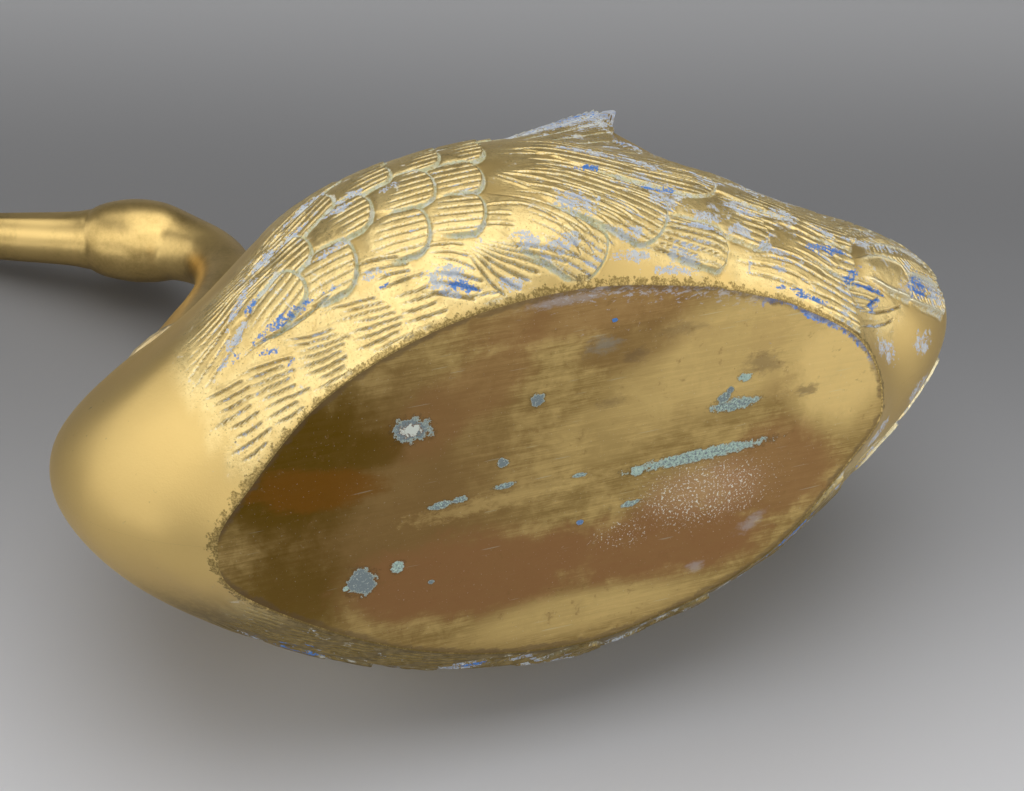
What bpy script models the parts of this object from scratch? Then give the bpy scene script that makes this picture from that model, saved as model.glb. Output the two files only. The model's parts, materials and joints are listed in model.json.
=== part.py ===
"""Brass swan planter: a cast swan whose hollow body is open between its raised wings.

The swan stands on +Z with its breast towards -Y, its tail towards +Y and its left wing on +X.
Sizes and places are in millimetres and become metres when a mesh is made.
"""
import math

import bmesh
import bpy
import numpy as np
from mathutils import Vector
from mathutils.bvhtree import BVHTree

MM = 0.001

# Driving sizes
BODY_LENGTH = 353.0
BODY_WIDTH = 186.0
WING_HEIGHT = 177.0
NECK_RISE = 122.0
HEAD_LENGTH = 92.0
WALL = 3.0
RIM_CROWN = 0.9
PLATE_THICKNESS = 2.5
FIT_GAP = 0.3
SOLDER_LEG = 4.0
SEAM_WIDTH = 8.0
SEAM_THICKNESS = 1.5
SEAM_LOW_END = 10.0
SEAM_RIM_MARGIN = 6.0
BEAD_RADIUS = 1.6
PEG_RADIUS = 5.0
PEG_LENGTH = 9.0
PEG_END_GAP = 1.0

FEATHER_LIFT = 1.3
FEATHER_EDGE = 1.5
FEATHER_BLUNTNESS = 0.55
FEATHER_GROUND = 9.0

# Mesh density: columns in each gap between two ribs, then rows, sides and steps
COLUMNS_PER_GAP = [5, 6, 7, 7, 6, 3, 2, 4, 5, 4]
OUTER_ROWS = 26
INNER_ROWS = 16
TUBE_SIDES = 24
PATH_STEPS = 3
BEAD_SIDES = 8
SHARP_ANGLE = 40.0

# Accuracy of what is found on the skin
HALVINGS = 30
SKIN_STEP = 0.01

# Outline of the ground flat base: x and y of each rib's foot. The grinding left its two sides unlike.
LEFT_BASE_EDGE = [
    (0, -118), (20, -106), (48, -79), (66, -38), (70.5, 8),
    (63.5, 50), (60.5, 60), (57, 69), (49, 87), (29, 114), (0, 124),
]
RIGHT_BASE_EDGE = [
    (0, -118), (20, -112), (49, -72), (66, -32), (72.5, 12),
    (66, 48), (62, 60), (58, 70), (47, 88), (20, 112), (0, 124),
]

# Ribs of the body from the breast's middle to the tail's middle, each from the first height to the rim
RIBS = [
    # Breast, middle
    [(0, -138, 13), (0, -155, 34), (0, -160, 60), (0, -149, 86), (0, -121, 107), (0, -70, 118)],
    # Breast, side
    [(26, -124, 13), (30, -141, 34), (24, -147, 60), (17, -138, 86), (16, -115, 107), (16, -68, 119.5)],
    # Shoulder, front
    [(55, -89, 13), (62, -103, 36), (51, -108, 63), (38, -102, 90), (31, -90, 108), (31, -58, 122)],
    # Shoulder
    [(78, -44, 13), (87, -50, 36), (86, -55, 66), (70, -58, 94), (56, -54, 116), (46, -40, 129)],
    # Wing, middle
    [(86, 8, 13), (93, 8, 38), (93, 8, 68), (79, 12, 100), (66, 14, 125), (57, 24, 145)],
    # Wing tip
    [(77, 53, 13), (83, 57, 36), (79, 61, 64), (69, 64, 94), (59, 65, 130), (50, 93, 177)],
    # Wing, notch behind the tip
    [(73.5, 63.5, 13), (79, 68.5, 35.5), (74.5, 73.5, 62.5), (65, 75.5, 91), (57.5, 73, 123), (51, 85, 158)],
    # Wing, rear edge
    [(69, 74, 13), (74, 80, 35), (69, 86, 61), (60, 87, 88), (55, 84, 117), (52, 86, 141)],
    # Flank behind the wing
    [(58, 94, 13), (61, 106, 34), (52, 118, 56), (44, 124, 80), (39, 125, 97), (37, 117, 112)],
    # Tail, side
    [(31, 122, 12), (36, 138, 28), (34, 154, 47), (27, 163, 66), (22, 168, 82), (18, 168, 97)],
    # Tail, middle
    [(0, 136, 11), (0, 157, 24), (0, 173, 40), (0, 184, 58), (0, 190, 76), (0, 193, 94)],
]

# Feathers on the unrolled flank, measured along it from amidships towards the tail and up it from the
# base's edge. Each row has its lowest and highest tip, how many feathers it has, and then their slope in
# degrees, length and width at both ends of the row. The rearmost rows come first.
FEATHER_ROWS = [
    # Tail
    ((104, 56), (130, 116), 5, (20, 50), (46, 42), (17, 17)),
    ((158, 70), (150, 118), 3, (38, 66), (58, 62), (18, 19)),
    ((153, 78), (150, 97), 2, (39, 46), (66, 80), (15, 14)),
    ((131, 47), (131, 47), 1, (27, 27), (38, 38), (13, 13)),
    # Behind the wing
    ((94, 12), (97, 30), 2, (4, 12), (46, 46), (17, 17)),
    ((98, 47), (102, 118), 5, (14, 44), (50, 46), (18, 18)),
    ((70, 44), (92, 118), 5, (-14, 36), (52, 50), (20, 19)),
    ((31, 11), (52, 23), 2, (-16, -12), (40, 46), (16, 18)),
    # Middle of the wing
    ((60, 66), (66, 118), 3, (-8, 32), (70, 62), (24, 22)),
    ((10, 20), (38, 46), 2, (-32, -22), (68, 84), (26, 32)),
    ((-16, 6), (-16, 6), 1, (-38, -38), (52, 52), (20, 20)),
    # Long feathers of the wing's tip
    ((52, 126), (26, 190), 6, (20, 40), (96, 116), (15, 15)),
    # Short feathers of the shoulder
    ((-51, 33), (-42, 71), 3, (-14, 4), (26, 26), (18, 19)),
    ((-40, 89), (-12, 142), 4, (8, 26), (34, 44), (18, 18)),
    ((-70, 33), (-56, 73), 3, (-10, 2), (27, 27), (19, 20)),
    ((-54, 92), (-30, 152), 4, (6, 24), (32, 40), (19, 19)),
    ((-96, 33), (-75, 72), 3, (-8, 6), (28, 30), (19, 20)),
    ((-73, 90), (-56, 150), 4, (10, 28), (32, 38), (19, 19)),
    ((-110, 52), (-97, 72), 2, (14, 24), (40, 44), (18, 18)),
    ((-92, 90), (-84, 150), 4, (28, 40), (44, 40), (17, 18)),
    ((-116, 39), (-116, 39), 1, (24, 24), (30, 30), (14, 14)),
]
# The rib position from which the flank is measured along
AMIDSHIPS = 4.5

# Where the neck stands: a level position on the breast's middle line
NECK_SEAT_LEVEL = 5.45
# Neck from its foot to the head: y and z of its middle from that seat, then half its width and thickness
NECK = [
    (-6.4, -17.6, 21, 21), (0.6, 2.4, 18.5, 18.5), (9.1, 21.4, 15.4, 15.4), (19.1, 39.4, 13.5, 13.5),
    (27.6, 56.4, 12.8, 12.8), (31.6, 74.4, 12.2, 12.2), (29.6, 90.4, 12.4, 12.4), (21.6, 104.4, 13.8, 13.8),
]
# The neck's first row that stands clear of the body
FREE_NECK_ROW = 2
# Head and bill, measured forwards and upwards from the neck's top
HEAD = [
    (-8, 8, 16.4, 16.4), (-17, 13.5, 17, 17), (-27, 18, 15.4, 14.8), (-35, 21.7, 12.2, 11.8),
    (-44, 26, 11, 10.4), (-60, 33.5, 10.3, 9), (-76, 41, 9.4, 7.2), (-87, 46, 7, 4.8), (-92, 48.3, 3.2, 2.2),
]

# Finishes: colour, roughness
POLISHED_BRASS = ((0.62, 0.42, 0.14), 0.32)
FEATHERED_BRASS = ((0.58, 0.41, 0.17), 0.42)
GROUND_BRASS = ((0.36, 0.22, 0.09), 0.45)
SOLDER = ((0.55, 0.50, 0.38), 0.5)


def clear_scene():
    """Removes whatever the file opened with."""
    for thing in list(bpy.data.objects):
        bpy.data.objects.remove(thing, do_unlink=True)


def brass_material(name, finish):
    """Makes one metal material with the finish's colour and roughness."""
    colour, roughness = finish
    material = bpy.data.materials.new(name)
    material.use_nodes = True
    shader = material.node_tree.nodes["Principled BSDF"]
    shader.inputs["Base Color"].default_value = (*colour, 1.0)
    shader.inputs["Roughness"].default_value = roughness
    shader.inputs["Metallic"].default_value = 1.0
    return material


def catmull_rom(points, at):
    """Reads a smooth curve through points[1:-1]; the first and last rows only steer its ends."""
    count = len(points) - 2
    start = np.clip(np.floor(at).astype(int), 0, count - 2)
    part = (at - start).reshape((-1,) + (1,) * (points.ndim - 1))
    before, first, second, after = (points[start + step] for step in range(4))
    return 0.5 * (
        2 * first
        + (second - before) * part
        + (2 * before - 5 * first + 4 * second - after) * part**2
        + (3 * first - before - 3 * second + after) * part**3
    )


def with_straight_ends(points):
    """Adds an end row on each side that carries the curve straight on."""
    head = 2 * points[0] - points[1]
    tail = 2 * points[-1] - points[-2]
    return np.concatenate([head[None], points, tail[None]])


def rib_net(side):
    """Gives the ribs of one side, stretched to the body's sizes, as an array of rib, level and coordinate."""
    edge = LEFT_BASE_EDGE if side > 0 else RIGHT_BASE_EDGE
    ribs = [[(x, y, 0.0), *levels] for (x, y), levels in zip(edge, RIBS)]
    net = np.array(ribs, dtype=float)
    drawn = np.array([2 * net[:, :, 0].max(), np.ptp(net[:, :, 1]), net[:, :, 2].max()])
    net *= np.array([BODY_WIDTH, BODY_LENGTH, WING_HEIGHT]) / drawn
    net[:, :, 0] *= side
    return net


def skin(side, along, up):
    """Reads the body's outer skin at rib positions along and level positions up, one up row per along."""
    net = rib_net(side)
    mirror = np.array([-1.0, 1.0, 1.0])
    steered = np.concatenate([net[1:2] * mirror, net, net[-2:-1] * mirror])
    columns = catmull_rom(steered, np.asarray(along, dtype=float))
    rows = [catmull_rom(with_straight_ends(column), level) for column, level in zip(columns, up)]
    return np.array(rows)


def level_at_height(side, along, height):
    """Finds, at each rib position, the level position where the skin reaches a height near the base."""
    low = np.zeros(len(along))
    high = np.ones(len(along))
    for _ in range(HALVINGS):
        middle = (low + high) / 2
        reached = skin(side, along, middle[:, None])[:, 0, 2] >= height
        high = np.where(reached, middle, high)
        low = np.where(reached, low, middle)
    return high


def level_rows(side, along, rows):
    """Gives each column's level positions, evenly from the top of the plate's gap to the rim."""
    start = level_at_height(side, along, PLATE_THICKNESS + FIT_GAP)
    return start[:, None] + (len(RIBS[0]) - start[:, None]) * np.linspace(0, 1, rows + 1)[None]


def outer_grid(side, along, rows):
    """Gives points and outward normals of the smooth skin from the base plate to the rim."""
    up = level_rows(side, along, rows)
    points = skin(side, along, up)
    ahead = skin(side, np.clip(along + SKIN_STEP, 0, len(RIBS) - 1), up)
    behind = skin(side, np.clip(along - SKIN_STEP, 0, len(RIBS) - 1), up)
    above = skin(side, along, np.clip(up + SKIN_STEP, 0, len(RIBS[0])))
    below = skin(side, along, np.clip(up - SKIN_STEP, 0, len(RIBS[0])))
    normals = np.cross(ahead - behind, above - below) * side
    middle_columns = (along <= 0) | (along >= len(RIBS) - 1)
    normals[middle_columns, :, 0] = 0
    normals /= np.linalg.norm(normals, axis=2, keepdims=True)
    return points, normals


def unrolled(along, up):
    """Gives each place's way along the flank from amidships and its way up it from the base's edge."""
    points = skin(1, along, up)
    steps = np.linalg.norm(np.diff(points, axis=0), axis=2)
    way_along = np.vstack([np.zeros(points.shape[1]), np.cumsum(steps, axis=0)])
    way_along -= np.array([np.interp(AMIDSHIPS, along, column) for column in way_along.T])
    rises = np.linalg.norm(np.diff(points, axis=1), axis=2)
    way_up = np.column_stack([np.zeros(len(along)), np.cumsum(rises, axis=1)])
    return way_along, way_up + PLATE_THICKNESS + FIT_GAP


def feather_lift(way_along, way_up):
    """Gives how far the feathers stand out from the skin: each one thickens from its root to its tip."""
    lift = np.zeros_like(way_along)
    for low, high, count, slopes, lengths, widths in FEATHER_ROWS:
        for share in np.linspace(1, 0, count):
            tip_along, tip_up, slope, length, width = (
                first + (second - first) * share
                for first, second in (*zip(low, high), slopes, lengths, widths)
            )
            turn = math.radians(slope)
            back, off = way_along - tip_along, way_up - tip_up
            along = 1 + (back * math.cos(turn) + off * math.sin(turn)) / length
            across = off * math.cos(turn) - back * math.sin(turn)
            blunt = FEATHER_BLUNTNESS * width / 2
            beyond = np.maximum(length * (along - 1) + blunt, 0) / blunt
            inside = (1 - np.hypot(beyond, 2 * across / width)) * width / 2
            cover = np.clip(inside / FEATHER_EDGE, 0, 1) * (along > 0)
            lift += (FEATHER_LIFT * along - lift) * cover
    return lift * np.clip(way_up / FEATHER_GROUND - 1, 0, 1)


def inner_grid(points, normals, depth):
    """Moves the skin inwards by a depth and keeps its first row at its own height."""
    inner = points - normals * depth
    flat = normals[:, 0] * np.array([1.0, 1.0, 0.0])
    reach = np.linalg.norm(flat, axis=1, keepdims=True)
    inner[:, 0] = points[:, 0] - flat / reach * (depth / reach)
    return inner


def make_object(name, points, faces, material):
    """Makes one smooth-shaded mesh object from points in millimetres."""
    mesh = bpy.data.meshes.new(name)
    form = bmesh.new()
    corners = [form.verts.new(Vector(point) * MM) for point in points]
    for face in faces:
        form.faces.new([corners[index] for index in face])
    bmesh.ops.recalc_face_normals(form, faces=form.faces)
    form.to_mesh(mesh)
    form.free()
    mesh.shade_smooth()
    mesh.set_sharp_from_angle(angle=math.radians(SHARP_ANGLE))
    if material:
        mesh.materials.append(material)
    thing = bpy.data.objects.new(name, mesh)
    bpy.context.scene.collection.objects.link(thing)
    return thing


def strip_faces(first, second, closed=False):
    """Joins two rows of point numbers with four-sided faces."""
    count = len(first) if closed else len(first) - 1
    steps = [(at, (at + 1) % len(first)) for at in range(count)]
    return [(first[a], first[b], second[b], second[a]) for a, b in steps]


def rib_positions():
    """Gives the rib positions of the body's columns, from the breast's to the tail's middle."""
    gaps = [rib + np.arange(count) / count for rib, count in enumerate(COLUMNS_PER_GAP)]
    return np.concatenate([*gaps, [len(COLUMNS_PER_GAP)]])


def body_half(name, side, material):
    """Makes one cast half of the body with its wing: a shell with feathers, a flat foot and a rounded rim."""
    along = rib_positions()
    outer, normals = outer_grid(side, along, OUTER_ROWS)
    lift = feather_lift(*unrolled(along, level_rows(side, along, OUTER_ROWS)))
    outer += normals * lift[:, :, None]
    inner = inner_grid(*outer_grid(side, along, INNER_ROWS), WALL)
    climb = outer[:, -1] - outer[:, -2] + inner[:, -1] - inner[:, -2]
    climb /= np.linalg.norm(climb, axis=1, keepdims=True)
    crown = (outer[:, -1] + inner[:, -1]) / 2 + climb * RIM_CROWN
    loops = [*np.swapaxes(outer, 0, 1), crown, *np.swapaxes(inner, 0, 1)[::-1]]
    points = np.concatenate(loops)
    points[:, 0] += side * FIT_GAP / 2
    width = len(along)
    rows = [list(range(row * width, (row + 1) * width)) for row in range(len(loops))]
    faces = []
    for first, second in zip(rows, rows[1:] + rows[:1]):
        faces += strip_faces(first, second)
    faces.append(tuple(row[0] for row in rows))
    faces.append(tuple(row[-1] for row in reversed(rows)))
    return make_object(name, points, faces, material)


def base_outline(height):
    """Gives the closed outline of the body's skin at a height, left side first."""
    along = rib_positions()
    sides = []
    for side in (1, -1):
        level = level_at_height(side, along, height) if height > 0 else np.zeros(len(along))
        sides.append(skin(side, along, level[:, None])[:, 0])
    return np.concatenate([sides[0], sides[1][-2:0:-1]])


def base_plate(material):
    """Makes the flat plate that closes the body, its edge ground flush with the skin."""
    under = base_outline(0.0)
    under[:, 2] = 0.0
    over = base_outline(PLATE_THICKNESS)
    over[:, 2] = PLATE_THICKNESS
    count = len(under)
    low, high = list(range(count)), list(range(count, 2 * count))
    faces = strip_faces(low, high, closed=True) + [tuple(reversed(low)), tuple(high)]
    return make_object("base_plate", np.concatenate([under, over]), faces, material)


def base_solder_seam(material):
    """Makes the fillet of solder in the corner between the plate and the body's inner wall."""
    along = rib_positions()
    corner, wall, floor = [], [], []
    for side in (1, -1):
        outer, normals = outer_grid(side, along, INNER_ROWS)
        inner = inner_grid(outer, normals, WALL)
        inward = -normals[:, 0] * np.array([1.0, 1.0, 0.0])
        inward /= np.linalg.norm(inward, axis=1, keepdims=True)
        climb = inner[:, 1] - inner[:, 0]
        climb /= np.linalg.norm(climb, axis=1, keepdims=True)
        root = inner[:, 0] + inward * 2 * FIT_GAP
        keep = slice(None) if side > 0 else slice(-2, 0, -1)
        corner.append(root[keep])
        wall.append((root + climb * SOLDER_LEG)[keep])
        floor.append((root + inward * SOLDER_LEG)[keep])
    loops = [np.concatenate(parts) for parts in (corner, wall, floor)]
    count = len(loops[0])
    rows = [list(range(at * count, (at + 1) * count)) for at in range(3)]
    faces = []
    for first, second in zip(rows, rows[1:] + rows[:1]):
        faces += strip_faces(first, second, closed=True)
    return make_object("base_solder_seam", np.concatenate(loops), faces, material)


def braze_seam(name, at_tail, material):
    """Makes the strip of braze that joins the two halves along the inside of one middle line."""
    outer, normals = outer_grid(1, rib_positions(), INNER_ROWS)
    facing = inner_grid(outer, normals, WALL) - normals * FIT_GAP
    if at_tail:
        facing, normals = facing[::-1], normals[::-1]
    half = SEAM_WIDTH / 2
    edge = np.array([
        [np.interp(half, facing[:4, row, 0], facing[:4, row, axis]) for axis in range(3)]
        for row in range(INNER_ROWS + 1)
    ])
    spine, out = facing[0], normals[0]
    lengths = np.concatenate([[0], np.cumsum(np.linalg.norm(np.diff(spine, axis=0), axis=1))])
    numbers = np.arange(INNER_ROWS + 1)
    low = np.interp(SEAM_LOW_END, spine[:, 2], numbers)
    high = np.interp(lengths[-1] - SEAM_RIM_MARGIN, lengths, numbers)
    at = np.concatenate([[low], np.arange(math.floor(low) + 1, math.ceil(high)), [high]])
    spine, edge, out = (with_rows(line, at) for line in (spine, edge, out))
    back = edge - out * SEAM_THICKNESS
    mirror = np.array([-1.0, 1.0, 1.0])
    loops = [edge * mirror, spine, edge, back, back * mirror]
    rows = [list(range(row * len(at), (row + 1) * len(at))) for row in range(5)]
    faces = []
    for first, second in zip(rows, rows[1:] + rows[:1]):
        faces += strip_faces(first, second)
    faces.append(tuple(row[0] for row in rows))
    faces.append(tuple(row[-1] for row in reversed(rows)))
    return make_object(name, np.concatenate(loops), faces, material)


def with_rows(line, at):
    """Reads a line of points at fractional row numbers, straight between its rows."""
    numbers = np.arange(len(line))
    return np.column_stack([np.interp(at, numbers, line[:, axis]) for axis in range(3)])


def neck_and_head_rings():
    """Sweeps one ring along the neck, head and bill; gives middles, headings and rings."""
    neck_line = np.array(NECK, dtype=float)
    rise = NECK_RISE / np.ptp(neck_line[:, 1])
    neck_line[:, 1] = neck_line[0, 1] + (neck_line[:, 1] - neck_line[0, 1]) * rise
    neck_line[:, :2] += skin(1, np.zeros(1), np.array([[NECK_SEAT_LEVEL]]))[0, 0, 1:]
    head_line = np.array(HEAD, dtype=float)
    head_line[:, :2] *= HEAD_LENGTH / -head_line[-1, 0]
    head_line[:, :2] += neck_line[-1, :2]
    data = np.concatenate([neck_line, head_line])
    at = np.linspace(0, len(data) - 1, PATH_STEPS * (len(data) - 1) + 1)
    smooth = catmull_rom(with_straight_ends(data), at)
    middle = np.column_stack([np.zeros(len(smooth)), smooth[:, :2]])
    heading = np.gradient(middle, axis=0)
    heading /= np.linalg.norm(heading, axis=1, keepdims=True)
    across = np.array([1.0, 0.0, 0.0])
    up = np.cross(heading, across)
    turns = np.linspace(0, 2 * math.pi, TUBE_SIDES, endpoint=False)
    wide = smooth[:, 2, None, None] * np.cos(turns)[None, :, None] * across
    high = smooth[:, 3, None, None] * np.sin(turns)[None, :, None] * up[:, None]
    return middle, heading, middle[:, None] + wide + high


def lifted_skin():
    """Gives points and faces of both halves' skin, lifted off it by the fitting gap and closed."""
    corners, faces = [], []
    along = rib_positions()
    width = OUTER_ROWS + 1
    last = (len(along) - 1) * width
    for side in (1, -1):
        points, normals = outer_grid(side, along, OUTER_ROWS)
        lifted = points + normals * FIT_GAP
        lifted[:, :, 0] += side * FIT_GAP / 2
        corners.append(lifted.reshape(-1, 3))
    half = len(corners[0])
    for side in range(2):
        for column in range(len(along) - 1):
            here = side * half + column * width
            faces += strip_faces(list(range(here, here + width)), list(range(here + width, here + 2 * width)))
    for column in (0, last):
        left = list(range(column, column + width))
        faces += strip_faces(left, [number + half for number in left])
    for row in (0, OUTER_ROWS):
        ring = [column * width + row for column in range(len(along))]
        ring += [number + half for number in reversed(ring)]
        middle = len(corners[0]) + len(corners[1]) + (row > 0)
        faces += [(middle, ring[at], ring[(at + 1) % len(ring)]) for at in range(len(ring))]
    middles = []
    for row in (0, OUTER_ROWS):
        rim = np.concatenate([side.reshape(-1, width, 3)[:, row] for side in corners])
        middles.append([0.0, rim[:, 1].mean(), rim[:, 2].mean()])
    return np.concatenate([*corners, middles]), faces


def neck_foot_cutter():
    """Makes the hidden cutter that gives the neck a foot fitting the body's skin."""
    points, faces = lifted_skin()
    cutter = make_object("neck_foot_cutter", points, faces, None)
    cutter.hide_render = True
    cutter.display_type = "WIRE"
    return cutter


def foot_line(rings):
    """Finds where the neck's sides land on the body's lifted skin, and the skin's way out there."""
    points, faces = lifted_skin()
    tree = BVHTree.FromPolygons([Vector(point) for point in points], faces)
    landings, outs = [], []
    clear_of_body = rings[FREE_NECK_ROW * PATH_STEPS]
    for start, end in zip(clear_of_body, rings[0]):
        way = Vector(end - start).normalized()
        hit, normal, _, _ = tree.ray_cast(Vector(start), way)
        landings.append(np.array(hit))
        outs.append(np.array(-normal if normal.dot(way) > 0 else normal))
    return np.array(landings), np.array(outs)


def neck(cutter, material):
    """Makes the solid S-shaped neck, with a foot that fits the body and a hole for the head's peg.

    Gives the line where its sides land on the body, and the skin's way out there.
    """
    middle, heading, rings = neck_and_head_rings()
    top = PATH_STEPS * (len(NECK) - 1)
    towards = rings[top] - middle[top]
    unit = towards / np.linalg.norm(towards, axis=1, keepdims=True)
    mouth = middle[top] + unit * (PEG_RADIUS + FIT_GAP)
    end = middle[top] - heading[top] * (PEG_LENGTH + PEG_END_GAP)
    floor = end + mouth - middle[top]
    thing = capped_object("neck", [middle[:1], *rings[:top + 1], mouth, floor, end[None]], material)
    cut = thing.modifiers.new("foot", "BOOLEAN")
    cut.operation = "DIFFERENCE"
    cut.solver = "EXACT"
    cut.object = cutter
    return foot_line(rings)


def capped_object(name, loops, material):
    """Makes a closed solid from rings that start and end in a single point."""
    points = np.concatenate(loops)
    rows, first = [], 0
    for loop in loops:
        rows.append(list(range(first, first + len(loop))))
        first += len(loop)
    faces = []
    for lower, upper in zip(rows, rows[1:]):
        if len(lower) == 1 or len(upper) == 1:
            tip, ring = (lower[0], upper) if len(lower) == 1 else (upper[0], lower)
            faces += [(tip, ring[at], ring[(at + 1) % len(ring)]) for at in range(len(ring))]
        else:
            faces += strip_faces(lower, upper, closed=True)
    return make_object(name, points, faces, material)


def neck_braze_ring(landings, ups, material):
    """Makes the bead of braze that runs round the neck's foot on the body."""
    centre = landings.mean(axis=0)
    turns = np.linspace(0, 2 * math.pi, BEAD_SIDES, endpoint=False)
    loops = []
    for point, up in zip(landings, ups):
        out = point - centre
        out -= up * np.dot(out, up)
        out /= np.linalg.norm(out)
        heart = point + out * (BEAD_RADIUS + 2 * FIT_GAP) + up * (BEAD_RADIUS + FIT_GAP / 2)
        loops.append([heart + BEAD_RADIUS * (math.cos(turn) * out + math.sin(turn) * up) for turn in turns])
    points = np.array(loops).reshape(-1, 3)
    rows = [[ring * BEAD_SIDES + at for ring in range(len(landings))] for at in range(BEAD_SIDES)]
    faces = []
    for first, second in zip(rows, rows[1:] + rows[:1]):
        faces += strip_faces(first, second, closed=True)
    return make_object("neck_braze_ring", points, faces, material)


def head(material):
    """Makes the solid head and bill, with the peg that sits in the neck's hole."""
    middle, heading, rings = neck_and_head_rings()
    joint = PATH_STEPS * (len(NECK) - 1)
    seat = heading[joint] * FIT_GAP
    towards = rings[joint] - middle[joint]
    unit = towards / np.linalg.norm(towards, axis=1, keepdims=True)
    root = middle[joint] + unit * PEG_RADIUS + seat
    end = middle[joint] - heading[joint] * PEG_LENGTH
    tip = end + unit * PEG_RADIUS
    beak = middle[-1] + heading[-1] * HEAD[-1][3]
    loops = [end[None], tip, root, rings[joint] + seat, *rings[joint + 1:], beak[None]]
    return capped_object("head", loops, material)


def centre_on_origin():
    """Moves every piece so that the middle of the whole swan's box stands over the origin."""
    pieces = [thing for thing in bpy.data.objects if not thing.hide_render]
    corners = np.array([vertex.co for thing in pieces for vertex in thing.data.vertices])
    low, high = corners.min(axis=0), corners.max(axis=0)
    shift = Vector((-(low[0] + high[0]) / 2, -(low[1] + high[1]) / 2, 0.0))
    for thing in bpy.data.objects:
        for vertex in thing.data.vertices:
            vertex.co += shift


def main():
    """Builds the planter piece by piece."""
    clear_scene()
    feathered = brass_material("feathered_brass", FEATHERED_BRASS)
    polished = brass_material("polished_brass", POLISHED_BRASS)
    ground = brass_material("ground_brass", GROUND_BRASS)
    solder = brass_material("solder", SOLDER)
    body_half("body_left_half", 1, feathered)
    body_half("body_right_half", -1, feathered)
    base_plate(ground)
    base_solder_seam(solder)
    braze_seam("breast_braze_seam", False, solder)
    braze_seam("tail_braze_seam", True, solder)
    landings, ups = neck(neck_foot_cutter(), polished)
    neck_braze_ring(landings, ups, solder)
    head(polished)
    centre_on_origin()


main()
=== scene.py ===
"""Brass swan planter, lying on its right side with its ground base towards the camera."""
import json
import logging
import math
from dataclasses import dataclass, field
from enum import Enum

import bpy
import numpy as np
from mathutils import Matrix, Vector

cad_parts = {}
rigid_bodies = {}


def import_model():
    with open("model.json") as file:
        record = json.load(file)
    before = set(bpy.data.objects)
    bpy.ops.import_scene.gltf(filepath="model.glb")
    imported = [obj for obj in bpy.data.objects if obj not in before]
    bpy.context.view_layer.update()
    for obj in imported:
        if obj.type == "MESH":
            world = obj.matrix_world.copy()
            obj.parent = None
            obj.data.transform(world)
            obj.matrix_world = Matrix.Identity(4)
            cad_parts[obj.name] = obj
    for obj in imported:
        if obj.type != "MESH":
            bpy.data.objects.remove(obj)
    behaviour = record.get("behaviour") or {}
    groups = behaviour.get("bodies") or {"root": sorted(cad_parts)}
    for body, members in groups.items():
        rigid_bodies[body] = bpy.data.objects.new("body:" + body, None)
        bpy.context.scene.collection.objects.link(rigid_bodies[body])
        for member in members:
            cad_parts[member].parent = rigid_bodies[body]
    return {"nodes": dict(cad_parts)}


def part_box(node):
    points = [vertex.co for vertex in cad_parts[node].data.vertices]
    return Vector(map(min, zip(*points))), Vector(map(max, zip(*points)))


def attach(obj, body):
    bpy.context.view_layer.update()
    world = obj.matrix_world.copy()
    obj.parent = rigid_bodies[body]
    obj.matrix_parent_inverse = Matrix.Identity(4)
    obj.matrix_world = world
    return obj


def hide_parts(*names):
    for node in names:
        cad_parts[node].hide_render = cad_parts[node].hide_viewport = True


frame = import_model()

log = logging.getLogger("swan")

MM = 0.001
BODY = "root"
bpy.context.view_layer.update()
# Places are drawn in millimetres with the tail's end at DRAWN_TAIL, and SHIFT moves them into the frame.
DRAWN_TAIL = 193.0
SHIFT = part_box("body_left_half")[1][1] / MM - DRAWN_TAIL
PHOTO_WIDTH = 1024
BAKE_MAP = "OFBake"

Pair = tuple[float, float]
Triple = tuple[float, float, float]
Colour = tuple[float, float, float]


# Numbers worked on as arrays

def smooth(low: float, high: float, values: np.ndarray) -> np.ndarray:
    """Eases from 0 at low to 1 at high."""
    part = np.clip((values - low) / (high - low), 0.0, 1.0)
    return part * part * (3.0 - 2.0 * part)


def bell(values: np.ndarray, middle: float, width: float) -> np.ndarray:
    """Gives 1 at the middle and falls away evenly on both sides."""
    return np.exp(-((values - middle) / width) ** 2)


def turned(x: np.ndarray, y: np.ndarray, degrees: float) -> tuple[np.ndarray, np.ndarray]:
    """Gives places' ways along and across something that is turned by an angle."""
    cos, sin = math.cos(math.radians(degrees)), math.sin(math.radians(degrees))
    return x * cos + y * sin, y * cos - x * sin


def blend(low: float, high: float, count: int) -> np.ndarray:
    """Gives count numbers evenly from low to high; a single one is their middle."""
    return np.linspace(low, high, count) if count > 1 else np.array([(low + high) / 2])


def unit(vectors: np.ndarray) -> np.ndarray:
    """Gives the vectors length one."""
    return vectors / np.maximum(np.linalg.norm(vectors, axis=-1, keepdims=True), 1e-9)


def catmull_rom(points: np.ndarray, at: np.ndarray) -> np.ndarray:
    """Reads a smooth curve through points[1:-1]; the first and last rows only steer its ends.

    Args:
        points: rows of the curve's points, with one steering row at each end.
        at: positions along the curve, counted in points.

    Returns:
        One row for each position.
    """
    start = np.clip(np.floor(at).astype(int), 0, len(points) - 4)
    part = (at - start).reshape((-1,) + (1,) * (points.ndim - 1))
    return spline(*(points[start + step] for step in range(4)), part)


def spline(before: np.ndarray, first: np.ndarray, second: np.ndarray, after: np.ndarray,
           part: np.ndarray) -> np.ndarray:
    """Blends four neighbouring points of a Catmull-Rom curve.

    Args:
        before: the points before the stretch.
        first: the points that it starts from.
        second: the points that it runs to.
        after: the points after the stretch.
        part: how far along the stretch to read, from 0 to 1.

    Returns:
        The points on the curve.
    """
    return 0.5 * (
        2 * first
        + (second - before) * part
        + (2 * before - 5 * first + 4 * second - after) * part**2
        + (3 * first - before - 3 * second + after) * part**3
    )


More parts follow.
